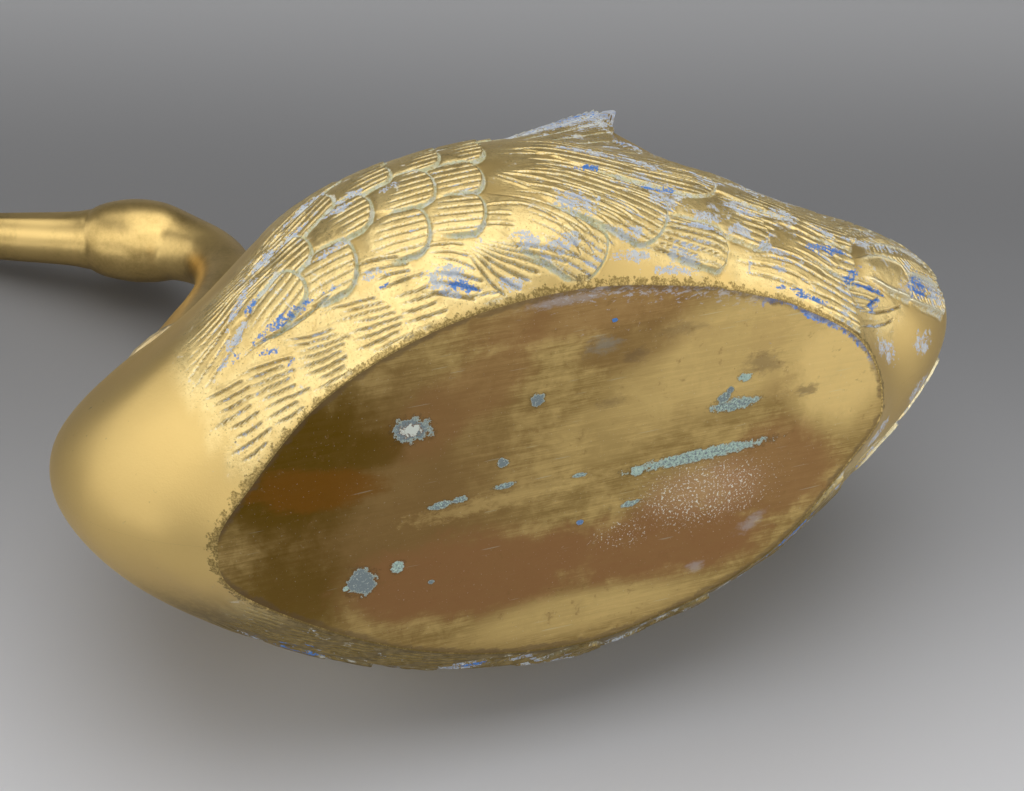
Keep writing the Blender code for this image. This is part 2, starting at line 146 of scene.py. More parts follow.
def with_straight_ends(points: np.ndarray, axis: int = 0) -> np.ndarray:
    """Adds an end row on each side that carries the curve straight on.

    Args:
        points: the curve's points.
        axis: the array's axis that runs along the curve.

    Returns:
        The points with one more row at each end.
    """
    points = np.moveaxis(points, axis, 0)
    longer = np.concatenate([2 * points[:1] - points[1:2], points, 2 * points[-1:] - points[-2:-1]])
    return np.moveaxis(longer, 0, axis)


@dataclass(frozen=True)
class Grain:
    """Smooth random hills over a plane, the same on every run."""

    seed: int
    pitch: float
    cells: int = 64

    def at(self, across: np.ndarray, along: np.ndarray) -> np.ndarray:
        """Gives the hills' height.

        Args:
            across: the places' first coordinate.
            along: the places' second coordinate.

        Returns:
            A height from -1 to 1 for each place.
        """
        hills = np.random.default_rng(self.seed).uniform(-1.0, 1.0, (self.cells, self.cells))
        x, y = across / self.pitch, along / self.pitch
        left, low = np.floor(x).astype(int), np.floor(y).astype(int)
        a, b = smooth(0.0, 1.0, x - left), smooth(0.0, 1.0, y - low)
        corner = [hills[(left + i) % self.cells, (low + j) % self.cells] for i in (0, 1) for j in (0, 1)]
        return (corner[0] * (1 - a) + corner[2] * a) * (1 - b) + (corner[1] * (1 - a) + corner[3] * a) * b


# Shader maths

class Number:
    """A number in a material that differs over the surface, used in plain expressions."""

    def __init__(self, recipe: "Recipe", socket: bpy.types.NodeSocket) -> None:
        """Keeps the socket and the recipe that it belongs to."""
        self.recipe = recipe
        self.socket = socket

    def _maths(self, operation: str, *values: "Number | float") -> "Number":
        """Adds one Math node.

        Args:
            operation: what it works out.
            values: what it works on.

        Returns:
            The result.
        """
        sockets = {index: value for index, value in enumerate(values)}
        node = self.recipe.node("ShaderNodeMath", {"operation": operation}, sockets)
        return Number(self.recipe, node.outputs[0])

    def __add__(self, other: "Number | float") -> "Number":
        """Adds."""
        return self._maths("ADD", self, other)

    __radd__ = __add__

    def __sub__(self, other: "Number | float") -> "Number":
        """Takes away."""
        return self._maths("SUBTRACT", self, other)

    def __rsub__(self, other: "Number | float") -> "Number":
        """Is taken away."""
        return self._maths("SUBTRACT", other, self)

    def __mul__(self, other: "Number | float") -> "Number":
        """Multiplies."""
        return self._maths("MULTIPLY", self, other)

    __rmul__ = __mul__

    def __truediv__(self, other: "Number | float") -> "Number":
        """Divides."""
        return self._maths("DIVIDE", self, other)

    def __rtruediv__(self, other: "Number | float") -> "Number":
        """Is divided by."""
        return self._maths("DIVIDE", other, self)

    def at_least(self, other: "Number | float") -> "Number":
        """Gives the larger."""
        return self._maths("MAXIMUM", self, other)

    def at_most(self, other: "Number | float") -> "Number":
        """Gives the smaller."""
        return self._maths("MINIMUM", self, other)

    def eased(self, low: float, high: float, bottom: float = 0.0, top: float = 1.0) -> "Number":
        """Eases from one number to another, and stays level beyond both.

        Args:
            low: where the easing starts; it may be the larger one.
            high: where it ends.
            bottom: what it gives at low.
            top: what it gives at high.

        Returns:
            The eased number.
        """
        settings = {"interpolation_type": "SMOOTHSTEP"}
        sockets = {"Value": self, "From Min": low, "From Max": high, "To Min": bottom, "To Max": top}
        node = self.recipe.node("ShaderNodeMapRange", settings, sockets)
        return Number(self.recipe, node.outputs[0])


class Recipe:
    """One material and the nodes that make its finish."""

    def __init__(self, name: str) -> None:
        """Starts the material with a Principled shader.

        Args:
            name: the material's name.
        """
        self.material = bpy.data.materials.new(name)
        self.material.use_nodes = True
        self.tree = self.material.node_tree
        self.shader = self.tree.nodes["Principled BSDF"]
        self.place = self.node("ShaderNodeTexCoord").outputs["Object"]

    def node(self, kind: str, settings: dict | None = None, sockets: dict | None = None) -> bpy.types.Node:
        """Adds a node.

        Args:
            kind: the node's type.
            settings: its properties; "stops" fills a colour ramp with (place, colour) pairs.
            sockets: values or links for its inputs, by name or number.

        Returns:
            The new node.
        """
        node = self.tree.nodes.new(kind)
        for name, value in (settings or {}).items():
            if name == "stops":
                self._fill_ramp(node.color_ramp, value)
            else:
                setattr(node, name, value)
        for name, value in (sockets or {}).items():
            self.feed(node.inputs[name], value)
        return node

    def _fill_ramp(self, ramp: bpy.types.ColorRamp, stops: list[tuple[float, Colour]]) -> None:
        """Puts a ramp's stops in place.

        Args:
            ramp: the colour ramp.
            stops: each stop's place, from 0 to 1, and colour.
        """
        while len(ramp.elements) < len(stops):
            ramp.elements.new(1.0)
        for element, (place, colour) in zip(ramp.elements, stops):
            element.position = place
            element.color = (*colour, 1.0)

    def feed(self, socket: bpy.types.NodeSocket, value: object) -> None:
        """Links a socket or sets its value.

        Args:
            socket: the input to fill.
            value: a Number or a socket to link, or a plain value.
        """
        if isinstance(value, Number):
            self.tree.links.new(value.socket, socket)
        elif isinstance(value, bpy.types.NodeSocket):
            self.tree.links.new(value, socket)
        elif socket.type == "RGBA" and len(value) == 3:
            socket.default_value = (*value, 1.0)
        else:
            socket.default_value = value

    def moved(self, stretch: Triple = (1, 1, 1), turn: Triple = (0, 0, 0)) -> bpy.types.NodeSocket:
        """Gives the object's coordinates, turned and stretched.

        Args:
            stretch: the factor along each axis; a small one draws the pattern out that way.
            turn: the angle about each axis, in degrees.

        Returns:
            The coordinates.
        """
        angles = tuple(math.radians(angle) for angle in turn)
        sockets = {"Vector": self.place, "Scale": stretch, "Rotation": angles}
        return self.node("ShaderNodeMapping", {"vector_type": "POINT"}, sockets).outputs[0]

    def noise(self, grain_mm: float, detail: float = 3.0, roughness: float = 0.5, warp: float = 0.0,
              **moved: Triple) -> Number:
        """Gives cloudy noise.

        Args:
            grain_mm: about how wide its clouds are, in millimetres.
            detail: how many finer layers it has.
            roughness: how strong the finer layers are.
            warp: how far it is distorted.
            moved: the stretch and the turn of its coordinates.

        Returns:
            A number from 0 to 1.
        """
        where = self.moved(**moved) if moved else self.place
        sockets = {"Vector": where, "Scale": 1.0 / (grain_mm * MM), "Detail": detail,
                   "Roughness": roughness, "Distortion": warp}
        return Number(self, self.node("ShaderNodeTexNoise", {}, sockets).outputs[0])

    def painted(self, name: str) -> Number:
        """Reads a value that the mesh carries at its points."""
        return Number(self, self.node("ShaderNodeAttribute", {"attribute_name": name}).outputs["Fac"])

    def axis(self, letter: str) -> Number:
        """Gives the object's coordinate along one axis, in millimetres."""
        split = self.node("ShaderNodeSeparateXYZ", {}, {0: self.place})
        return Number(self, split.outputs[letter]) * 1000.0

    def distance(self, centre_mm: Triple, stretch: Triple = (1, 1, 1), turn: float = 0.0) -> Number:
        """Gives the distance from a place.

        Args:
            centre_mm: the place as drawn, in millimetres.
            stretch: a factor for each axis; the distance is that much shorter along it.
            turn: the angle that the stretched axes are turned by, in degrees.

        Returns:
            The distance in millimetres.
        """
        centre = (centre_mm[0] * MM, (centre_mm[1] + SHIFT) * MM, centre_mm[2] * MM)
        offset = self.node("ShaderNodeVectorMath", {"operation": "SUBTRACT"},
                           {0: self.place, 1: centre}).outputs[0]
        aligned = self.node("ShaderNodeMapping", {"vector_type": "POINT"},
                            {"Vector": offset, "Rotation": (0, 0, math.radians(turn))}).outputs[0]
        scaled = self.node("ShaderNodeVectorMath", {"operation": "DIVIDE"}, {0: aligned, 1: stretch})
        length = self.node("ShaderNodeVectorMath", {"operation": "LENGTH"}, {0: scaled.outputs[0]})
        return Number(self, length.outputs["Value"]) * 1000.0

    def mix(self, first: object, second: object, share: Number | float) -> bpy.types.NodeSocket:
        """Mixes two colours.

        Args:
            first: the colour at share 0.
            second: the colour at share 1.
            share: how much of the second there is.

        Returns:
            The mixed colour.
        """
        node = self.node("ShaderNodeMix", {"data_type": "RGBA"})
        colours = [socket for socket in node.inputs if socket.type == "RGBA"]
        self.feed(node.inputs[0], share)
        self.feed(colours[0], first)
        self.feed(colours[1], second)
        return next(socket for socket in node.outputs if socket.type == "RGBA")

    def bump(self, height: Number, depth_mm: float, strength: float = 1.0) -> None:
        """Gives the surface a fine relief."""
        sockets = {"Height": height, "Distance": depth_mm * MM, "Strength": strength}
        self.feed(self.shader.inputs["Normal"], self.node("ShaderNodeBump", {}, sockets).outputs[0])

    def finish(self, colour: object, roughness: object, metallic: object) -> bpy.types.Material:
        """Feeds the shader.

        Args:
            colour: the base colour.
            roughness: how dull the surface is, from 0 to 1.
            metallic: how far it is bare metal, from 0 to 1.

        Returns:
            The material.
        """
        self.feed(self.shader.inputs["Base Color"], colour)
        self.feed(self.shader.inputs["Roughness"], roughness)
        self.feed(self.shader.inputs["Metallic"], metallic)
        return self.material


# Finishes

class ChasedSurface:
    """What the feathered brass reads at each place: the relief's values and the noises it shares."""

    def __init__(self, cook: Recipe) -> None:
        """Reads the values.

        Args:
            cook: the material's recipe.
        """
        self.groove, self.edge = cook.painted("groove"), cook.painted("edge")
        self.plumage = cook.painted("plumage")
        self.along = cook.axis("Y")
        self.patches = cook.noise(9.0, 5.0, 0.65, 0.4)
        self.flecks, self.dust = cook.noise(3.2, 4.0, 0.7), cook.noise(0.8, 2.0, 0.7)


@dataclass(frozen=True)
class FeatheredBrass:
    """Cast and chased brass, rubbed bright on top, with residue down in its grooves."""

    bright: Colour = (0.84, 0.66, 0.30)
    warm: Colour = (0.66, 0.47, 0.175)
    satin: Colour = (0.66, 0.475, 0.18)
    olive: Colour = (0.19, 0.14, 0.05)
    green: Colour = (0.60, 0.64, 0.46)
    vivid: Colour = (0.05, 0.26, 0.76)
    haze: Colour = (0.50, 0.61, 0.82)
    chalk: Colour = (0.84, 0.86, 0.80)
    cream: Colour = (0.80, 0.75, 0.54)
    # Brown for the dark patches and the foot, and also for the painted shade low on the right flank
    tarnish_and_shade: Colour = (0.20, 0.14, 0.045)

    def make(self) -> bpy.types.Material:
        """Builds the material: the metal, its green film and painted shade, the residues and the fine grit.

        Returns:
            The material, which reads what the body's mesh carries at its points.
        """
        cook = Recipe("feathered_brass")
        at = ChasedSurface(cook)
        colour, film = self._green_film_and_painted_shade(cook, at, self._metal(cook, at))
        colour, dried = self._residues(cook, at, colour)
        colour = self._wear(cook, at, colour)
        residue = (dried + film * 0.6).at_most(1.0)
        brushed = cook.noise(1.2, 3.0, 0.6, stretch=(1.0, 0.12, 1.0))
        grit = (at.dust * 0.8 + at.flecks * 0.5) * (at.plumage * 1.3 + 0.4)
        cook.bump(brushed * 0.3 + grit, 0.16, 0.6)
        rough = (0.38 + brushed * 0.12 + at.groove * 0.15 + residue * 0.4).at_most(0.88)
        return cook.finish(colour, rough, (1.0 - residue * 0.9).at_least(0.05))

    def _metal(self, cook: Recipe, at: ChasedSurface) -> bpy.types.NodeSocket:
        """Colours the metal: satin where smooth, rubbed bright on the feathers, olive in their strokes.

        Args:
            cook: the material's recipe.
            at: what the surface carries.

        Returns:
            The metal's colour.
        """
        clouds = cook.noise(34.0, 4.0)
        smooth_metal = cook.mix(self.satin, self.warm, (clouds * 0.8 + at.flecks * 0.3).eased(0.35, 0.8))
        rubbed = cook.mix(self.warm, self.bright, (clouds * 0.5 + at.flecks * 0.7).eased(0.3, 0.8))
        colour = cook.mix(smooth_metal, rubbed, at.plumage)
        colour = cook.mix(colour, self.olive, at.groove * at.dust.eased(0.25, 0.6, 0.5, 0.95))
        colour = cook.mix(colour, self.tarnish_and_shade, at.patches.eased(0.46, 0.32) * at.plumage * 0.35)
        burr = at.groove.eased(0.04, 0.2) * at.groove.eased(0.7, 0.4) * at.dust.eased(0.42, 0.58)
        return cook.mix(colour, self.cream, burr * 0.55)

    def _green_film_and_painted_shade(self, cook: Recipe, at: ChasedSurface,
                 colour: bpy.types.NodeSocket) -> tuple[bpy.types.NodeSocket, Number]:
        """Greens the feathers' outlines, and darkens the right flank low down with painted shade, the shadow
        where it lies near the table.

        Args:
            cook: the material's recipe.
            at: what the surface carries.
            colour: the metal's colour.

        Returns:
            The colour with the green film and the painted shade, and how thick the green film is, from 0 to
            1.
        """
        front = at.along.eased(20.0, 80.0, 1.0, 0.35)
        film = (at.edge + at.flecks * 0.5).eased(0.55, 1.0) * front
        colour = cook.mix(colour, self.green, film * at.dust.eased(0.3, 0.6, 0.35, 0.85))
        # Painted shade: the right flank's lower part is darkened as if in the table's shadow
        painted_contact_shade = cook.axis("X").eased(-16.0, -44.0) * cook.axis("Z").eased(40.0, 22.0)
        return cook.mix(colour, self.tarnish_and_shade, painted_contact_shade * at.flecks.eased(0.3, 0.6, 0.6, 0.9)), film

    def _residues(self, cook: Recipe, at: ChasedSurface,
                  colour: bpy.types.NodeSocket) -> tuple[bpy.types.NodeSocket, Number]:
        """Lays the pale and the bright blue residues and the chalk, flaked, thickest in the grooves.

        Args:
            cook: the material's recipe.
            at: what the surface carries.
            colour: the metal's colour with its green film and painted shade.

        Returns:
            The colour with the residues, and how much has dried at each place.
        """
        flaked = (at.flecks * 0.55 + at.dust * 0.45 - 0.5) * 2.4
        low_down = at.groove * 0.25 + flaked
        hazy = (cook.painted("haze") * 0.55 + low_down).eased(0.46, 0.58)
        scattered = at.patches * 1.2 + at.groove * 0.2 + flaked * 0.25
        scattered = scattered + at.along.eased(-70.0, 60.0, 0.0, 0.12)
        hazy = hazy.at_least(scattered.eased(0.84, 0.93) * at.plumage * 0.9)
        film_colour = cook.mix(self.haze, self.chalk, at.flecks.eased(0.45, 0.7, 0.0, 0.6))
        colour = cook.mix(colour, film_colour, hazy * 0.8)
        chalky = (cook.noise(5.0, 5.0, 0.75, 0.5) + at.edge * 0.15 + hazy * 0.1).eased(0.61, 0.70)
        chalky = chalky * at.plumage
        colour = cook.mix(colour, self.chalk, chalky * 0.65)
        vivid = (cook.painted("vivid") * 0.62 + low_down).eased(0.52, 0.66)
        blue = cook.mix(self.vivid, self.haze, at.dust.eased(0.5, 0.75, 0.0, 0.6))
        return cook.mix(colour, blue, vivid * 0.92), hazy * 0.7 + vivid + chalky * 0.6

    def _wear(self, cook: Recipe, at: ChasedSurface, colour: bpy.types.NodeSocket) -> bpy.types.NodeSocket:
        """Rubs the barbs pale, browns the foot and pits the feathers.

        Args:
            cook: the material's recipe.
            at: what the surface carries.
            colour: the colour with the residues.

        Returns:
            The worn colour.
        """
        colour = cook.mix(colour, self.cream, cook.painted("rim") * at.flecks.eased(0.3, 0.5, 0.6, 0.95))
        ragged_foot = (cook.axis("Z").eased(2.8, 0.0, 0.0, 0.38) + (at.flecks - 0.5) * 1.3).eased(0.22, 0.34)
        colour = cook.mix(colour, self.tarnish_and_shade, ragged_foot * at.dust.eased(0.35, 0.6, 0.3, 0.85))
        pitted = (at.dust * 0.6 + cook.noise(0.5, 2.0, 0.6) * 0.4).eased(0.36, 0.42, 1.0, 0.0) * at.plumage
        return cook.mix(colour, self.olive, pitted * 0.6)


@dataclass(frozen=True)
class SatinBrass:
    """Smooth brass, dulled to a satin by age."""

    bright: Colour = (0.70, 0.50, 0.19)
    brown: Colour = (0.44, 0.30, 0.10)

    def make(self) -> bpy.types.Material:
        """Builds the material.

        Returns:
            The material, cloudy and finely scratched.
        """
        cook = Recipe("satin_brass")
        clouds, specks = cook.noise(28.0, 5.0, 0.6), cook.noise(1.6, 3.0, 0.7)
        scratches = cook.noise(0.7, 2.0, 0.6, stretch=(1.0, 0.07, 0.4))
        colour = cook.mix(self.brown, self.bright, (clouds * 0.9 + specks * 0.3).eased(0.32, 0.72))
        cook.bump(scratches * 0.5 + specks * 0.3, 0.05, 0.5)
        return cook.finish(colour, 0.27 + clouds * 0.12 + scratches * 0.08, 1.0)


@dataclass(frozen=True)
class Crust:
    """One spot of verdigris on the base: its place and half sizes across and along it, in millimetres."""

    x: float
    y: float
    across: float
    along: float
    turn: float = 0.0
    heart: bool = False
    pale: float = 0.0
    blue: float = 0.0


CRUSTS = [
    Crust(29.5, -51.0, 4.6, 6.4, -10.0, heart=True), Crust(-25.4, -70.1, 5.4, 4.8, 20.0),
    Crust(-22.5, -57.4, 2.3, 2.6, 0.0, pale=0.8), Crust(-26.8, -75.9, 1.0, 1.1, 0.0, pale=1.0),
    Crust(-1.6, -41.8, 1.5, 4.0, 4.0, pale=0.5), Crust(-1.0, -35.2, 1.3, 2.8, 4.0, pale=0.5),
    Crust(10.0, -19.8, 2.0, 1.8), Crust(0.8, -19.2, 1.1, 3.6, 4.0, pale=0.5),
    Crust(-3.2, 52.6, 2.3, 25.0, 1.5, pale=0.75), Crust(-4.2, 29.0, 2.2, 2.4, 0.0, pale=1.0),
    Crust(14.6, 65.0, 2.3, 8.6, 0.0, pale=0.6), Crust(18.0, 61.0, 2.0, 2.6, 20.0, pale=0.4),
    Crust(24.6, 68.3, 1.7, 2.4, 0.0, pale=1.0), Crust(20.6, 63.0, 1.2, 1.3),
    Crust(-1.1, 7.9, 0.9, 2.4, 0.0, pale=0.6), Crust(-17.0, 26.6, 1.2, 3.6, 6.0, pale=0.6),
    Crust(31.6, -7.8, 2.2, 2.6), Crust(-31.5, -46.0, 0.9, 1.0), Crust(56.1, 19.4, 0.8, 1.0, blue=0.9),
    Crust(-20.2, 8.2, 1.0, 1.3, blue=0.5),
]


class Tone(Enum):
    """The patina's colours, by their names in the ground brass."""

    BROWN = "brown"
    DEEP = "deep"
    RED = "red"
    RUST = "rust"
    GOLD = "gold"
    ROSE = "rose"
    BLOT = "blot"
    LILAC = "lilac"
    CRUST = "crust"


@dataclass(frozen=True)
class Tint:
    """One cloud of colour on the base, mostly patina, the gold ones at the tail's end partly painted
    highlight: its place, half sizes in millimetres and strength.
    """

    x: float
    y: float
    across: float
    along: float
    tone: Tone
    share: float
    turn: float = 0.0
    soft: float = 0.45


TINTS = [
    Tint(4.0, -62.0, 60.0, 62.0, Tone.BROWN, 0.85, soft=0.7), Tint(30.0, -98.0, 40.0, 40.0, Tone.DEEP, 1.0),
    Tint(-34.0, -98.0, 34.0, 24.0, Tone.DEEP, 0.8), Tint(40.0, -30.0, 13.0, 34.0, Tone.RED, 0.55, 34.0),
    Tint(14.0, -82.0, 8.0, 24.0, Tone.RUST, 0.8, -8.0, 0.3), Tint(24.0, -64.0, 8.0, 10.0, Tone.DEEP, 0.7),
    Tint(60.0, 6.0, 12.0, 46.0, Tone.RED, 0.6), Tint(46.0, 28.0, 10.0, 26.0, Tone.BROWN, 0.7),
    Tint(-33.0, -34.0, 17.0, 46.0, Tone.RED, 1.0, 2.0, 0.35),
    Tint(-36.0, 36.0, 17.0, 44.0, Tone.RED, 1.0, -4.0, 0.3),
    Tint(-16.0, 84.0, 20.0, 26.0, Tone.RED, 0.8, -30.0, 0.35), Tint(20.0, 84.0, 8.0, 9.0, Tone.BROWN, 0.5),
    Tint(40.0, 78.0, 7.0, 8.0, Tone.BROWN, 0.6), Tint(-58.0, 10.0, 9.0, 46.0, Tone.GOLD, 0.6, soft=0.6),
    Tint(-4.0, -14.0, 4.0, 36.0, Tone.GOLD, 0.4, 2.0, 0.7),
    # The two gold clouds towards the tail's end are partly patina and partly painted highlight that brightens
    # the base's rear end
    Tint(36.0, 66.0, 22.0, 44.0, Tone.GOLD, 0.6, 14.0), Tint(20.0, 106.0, 26.0, 20.0, Tone.GOLD, 1.0, 20.0),
    Tint(-17.0, 56.0, 13.0, 26.0, Tone.ROSE, 0.65, soft=0.8),
    Tint(14.0, 18.0, 12.0, 26.0, Tone.GOLD, 0.3, 6.0), Tint(28.6, 75.6, 4.5, 8.0, Tone.BLOT, 0.5, soft=0.9),
    Tint(14.4, 92.7, 2.6, 4.5, Tone.BLOT, 0.6, soft=0.7),
    Tint(41.2, 28.4, 3.2, 6.5, Tone.BLOT, 0.45, soft=0.8),
    Tint(47.7, 43.4, 3.0, 9.0, Tone.BLOT, 0.35, soft=0.9),
    Tint(24.9, 18.3, 2.6, 4.5, Tone.BLOT, 0.4, soft=0.8),
    Tint(-36.0, 74.2, 3.0, 6.0, Tone.LILAC, 0.28, 30.0, 0.9),
    Tint(-50.0, 52.5, 2.6, 3.5, Tone.LILAC, 0.3, soft=0.9),
    Tint(47.6, 15.3, 4.0, 7.0, Tone.CRUST, 0.35, soft=0.9),
    Tint(66.5, 3.4, 2.0, 16.0, Tone.LILAC, 0.3, soft=0.8),
]


@dataclass(frozen=True)
class GroundBrass:
    """Brass ground flat, browned in a tide across it, with spots of verdigris."""

    middle: Colour = (0.30, 0.20, 0.066)
    gold: Colour = (0.75, 0.55, 0.215)
    brown: Colour = (0.24, 0.14, 0.048)
    deep: Colour = (0.135, 0.075, 0.006)
    rust: Colour = (0.22, 0.09, 0.01)
    blue: Colour = (0.08, 0.28, 0.76)
    lilac: Colour = (0.56, 0.60, 0.68)
    red: Colour = (0.30, 0.155, 0.06)
    blot: Colour = (0.15, 0.10, 0.055)
    rose: Colour = (0.50, 0.30, 0.16)
    crust: Colour = (0.25, 0.31, 0.32)
    pale: Colour = (0.56, 0.75, 0.64)
    rim: Colour = (0.58, 0.68, 0.58)
    heart: Colour = (0.90, 0.94, 0.84)
    shadow: Colour = (0.07, 0.045, 0.02)

    broad_tint: float = 24.0
    small_tint: float = 8.0
    rubbed_place: Pair = (-19.0, 55.0)
    second_rubbed_place: Pair = (-29.0, 24.0)
    pale_film_place: Pair = (62.0, 34.0)
    blue_film_place: Pair = (40.0, 97.0)

    def make(self) -> bpy.types.Material:
        """Builds the material: the brushed metal, its patina with a painted highlight towards the tail's end,
        the wear and the verdigris.

        Returns:
            The material, which reads the way to the rim from the plate's mesh.
        """
        cook = Recipe("ground_brass")
        brushed = cook.noise(1.7, 5.0, 0.65, 0.1, stretch=(1.0, 0.04, 1.0))
        fine = cook.noise(0.5, 3.0, 0.6, stretch=(1.0, 0.06, 1.0))
        clouds, mottle = cook.noise(36.0, 5.0, 0.6, 0.3), cook.noise(7.0, 6.0, 0.7, 0.4)
        lines = (brushed - 0.5) * 0.4 + (fine - 0.5) * 0.3
        tone = (clouds * 0.55 + mottle * 0.45 + lines).eased(0.38, 0.68)
        colour = cook.mix(self.middle, self.gold, tone * 0.55)
        wander = (clouds - 0.5) * 38.0 + (mottle - 0.5) * 16.0 + (brushed - 0.5) * 8.0
        colour = self._patina_and_highlight(cook, colour, wander, (0.60 + brushed * 0.35 + mottle * 0.35).at_most(1.0))
        # Small blots, specks where it is rubbed, scratches and pits
        blots = cook.noise(5.0, 5.0, 0.7, 0.3).eased(0.59, 0.72)
        colour = cook.mix(colour, self.brown, blots * 0.5)
        rubbed = cook.distance((*self.rubbed_place, 0.0), (1.0, 2.0, 1.0)).eased(21.0, 7.0)
        second = cook.distance((*self.second_rubbed_place, 0.0), (1.0, 2.0, 1.0))
        rubbed = rubbed.at_least(second.eased(9.0, 3.0, 0.0, 0.8))
        specks = (cook.noise(0.9, 2.0, 0.8) + rubbed * 0.09).eased(0.67, 0.72)
        colour = cook.mix(colour, self.heart, specks * (rubbed * 0.6 + 0.15))
        scratches = cook.noise(0.8, 1.0, turn=(0.0, 0.0, 24.0), stretch=(1.0, 0.04, 1.0)).eased(0.74, 0.78)
        colour = cook.mix(colour, self.rim, scratches * 0.2)
        pits = cook.noise(1.4, 3.0, 0.7).eased(0.69, 0.75)
        colour = cook.mix(colour, self.shadow, pits * 0.55)
        # Residue and a brown border along the rim, then the verdigris over all
        colour = self._films(cook, colour)
        near_rim = cook.painted("rim_left").eased(5.0, 0.2, 0.0, 0.45)
        border = (near_rim + (mottle - 0.5) * 0.8).eased(0.24, 0.42)
        colour = cook.mix(colour, self.blot, border * brushed.eased(0.3, 0.7, 0.35, 0.8))
        colour, crusted = self._spots(cook, colour, mottle)
        dust = cook.noise(0.6, 2.0, 0.7)
        worn = brushed * 0.35 + fine * 0.35 + specks * 0.5 - scratches * 0.4 - pits * 0.5
        cook.bump(worn + crusted * dust * 2.5, 0.10, 0.5)
        rough = (0.34 + fine * 0.15 + mottle * 0.18 + crusted * 0.4).at_most(0.9)
        return cook.finish(colour, rough, 0.97 - crusted * 0.95)

    def _patina_and_highlight(self, cook: Recipe, colour: bpy.types.NodeSocket, wander: Number,
                uneven: Number) -> bpy.types.NodeSocket:
        """Lays the clouds of patina; the gold ones towards the tail's end are partly painted highlight.

        Args:
            cook: the material's recipe.
            colour: the metal's colour.
            wander: how far the broad clouds' outlines stray, in millimetres.
            uneven: how much of each cloud takes at each place, from 0 to 1.

        Returns:
            The colour with the clouds on it.
        """
        smudge = (cook.noise(2.6, 5.0, 0.75, 0.3, stretch=(1.0, 0.5, 1.0)) - 0.5) * 3.0
        for tint in TINTS:
            away = cook.distance((tint.x, tint.y, 0.0), (1.0, tint.along / tint.across, 1.0), tint.turn)
            away = away + wander * min(1.0, tint.across / self.broad_tint)
            if tint.across < self.small_tint:
                away = away + smudge * tint.across
            share = away.eased(tint.across * 1.2, tint.across * (1.0 - tint.soft), 0.0, tint.share)
            colour = cook.mix(colour, getattr(self, tint.tone.value), share * uneven)
        return colour

    def _films(self, cook: Recipe, colour: bpy.types.NodeSocket) -> bpy.types.NodeSocket:
        """Lays the ragged blue residue along the rear rim and the pale one along the upper rim.

        Args:
            cook: the material's recipe.
            colour: the metal's colour.

        Returns:
            The colour with the residues on it.
        """
        rim_left, flakes = cook.painted("rim_left"), cook.noise(2.6, 6.0, 0.78, 0.3)
        upper = cook.distance((*self.pale_film_place, 0.0), (1.0, 2.6, 1.0)).eased(22.0, 8.0)
        smears = cook.noise(1.7, 5.0, 0.75, 0.2, stretch=(1.0, 0.45, 1.0))
        pale = (rim_left.eased(9.0, 0.5, 0.0, 0.15) + smears).eased(0.62, 0.70) * upper
        colour = cook.mix(colour, self.lilac, pale * 0.5)
        rear = cook.distance((*self.blue_film_place, 0.0)).eased(34.0, 20.0)
        gaps = (cook.noise(11.0, 2.0) - 0.5) * 0.5
        blue = (rim_left.eased(4.2, 0.4, 0.0, 0.32) + flakes + gaps).eased(0.70, 0.76) * rear
        return cook.mix(colour, cook.mix(self.lilac, self.blue, flakes.eased(0.40, 0.58)), blue * 0.9)

    def _spots(self, cook: Recipe, colour: bpy.types.NodeSocket,
               mottle: Number) -> tuple[bpy.types.NodeSocket, Number]:
        """Draws the verdigris.

        Args:
            cook: the material's recipe.
            colour: the metal's colour.
            mottle: noise that breaks up the spots' outlines.

        Returns:
            The colour with the spots on it, and how crusted each place is, from 0 to 1.
        """
        ragged = (cook.noise(2.8, 5.0, 0.75) - 0.5) * 2.2 + (mottle - 0.5) * 0.5
        crystals = cook.noise(0.8, 3.0, 0.8)
        crusted = None
        for spot in CRUSTS:
            way = cook.distance((spot.x, spot.y, 0.0), (1.0, spot.along / spot.across, 1.0), spot.turn)
            away = way / spot.across + ragged
            inner = away.eased(1.02, 0.92)
            colour = cook.mix(colour, self.shadow, away.eased(1.35, 1.05, 0.0, 0.35))
            whitened = crystals.eased(0.62 - 0.3 * spot.pale, 0.70 - 0.2 * spot.pale)
            body = cook.mix(self.crust, self.pale, whitened)
            body = cook.mix(body, self.heart, crystals.eased(0.58, 0.66) * 0.8)
            body = cook.mix(self.rim, body, away.eased(0.95, 0.78))
            body = cook.mix(body, self.blue, spot.blue)
            if spot.heart:
                body = cook.mix(body, self.rust, away.eased(0.62, 0.5))
                body = cook.mix(body, self.heart, away.eased(0.52, 0.42))
            colour = cook.mix(colour, body, inner)
            crusted = inner if crusted is None else crusted.at_least(inner)
        return colour, crusted


@dataclass(frozen=True)
class CastInside:
    """The rough brass inside of the bowl, dark with age and traces of soil."""

    brass: Colour = (0.36, 0.25, 0.10)
    dark: Colour = (0.12, 0.09, 0.05)
    lime: Colour = (0.34, 0.38, 0.33)

    def make(self) -> bpy.types.Material:
        """Builds the material.

        Returns:
            The material, sandy and limed towards the floor.
        """
        cook = Recipe("cast_inside")
        clouds, sand = cook.noise(24.0, 6.0, 0.6, 0.3), cook.noise(1.1, 3.0, 0.7)
        colour = cook.mix(self.dark, self.brass, (clouds + sand * 0.3).eased(0.4, 0.85))
        lime = (cook.noise(15.0, 5.0, 0.7, 0.6) + cook.axis("Z").eased(90.0, 10.0) * 0.12).eased(0.6, 0.74)
        colour = cook.mix(colour, self.lime, lime * 0.5)
        cook.bump(sand, 0.35, 0.8)
        return cook.finish(colour, 0.55 + sand * 0.25, 0.85 - lime * 0.5)


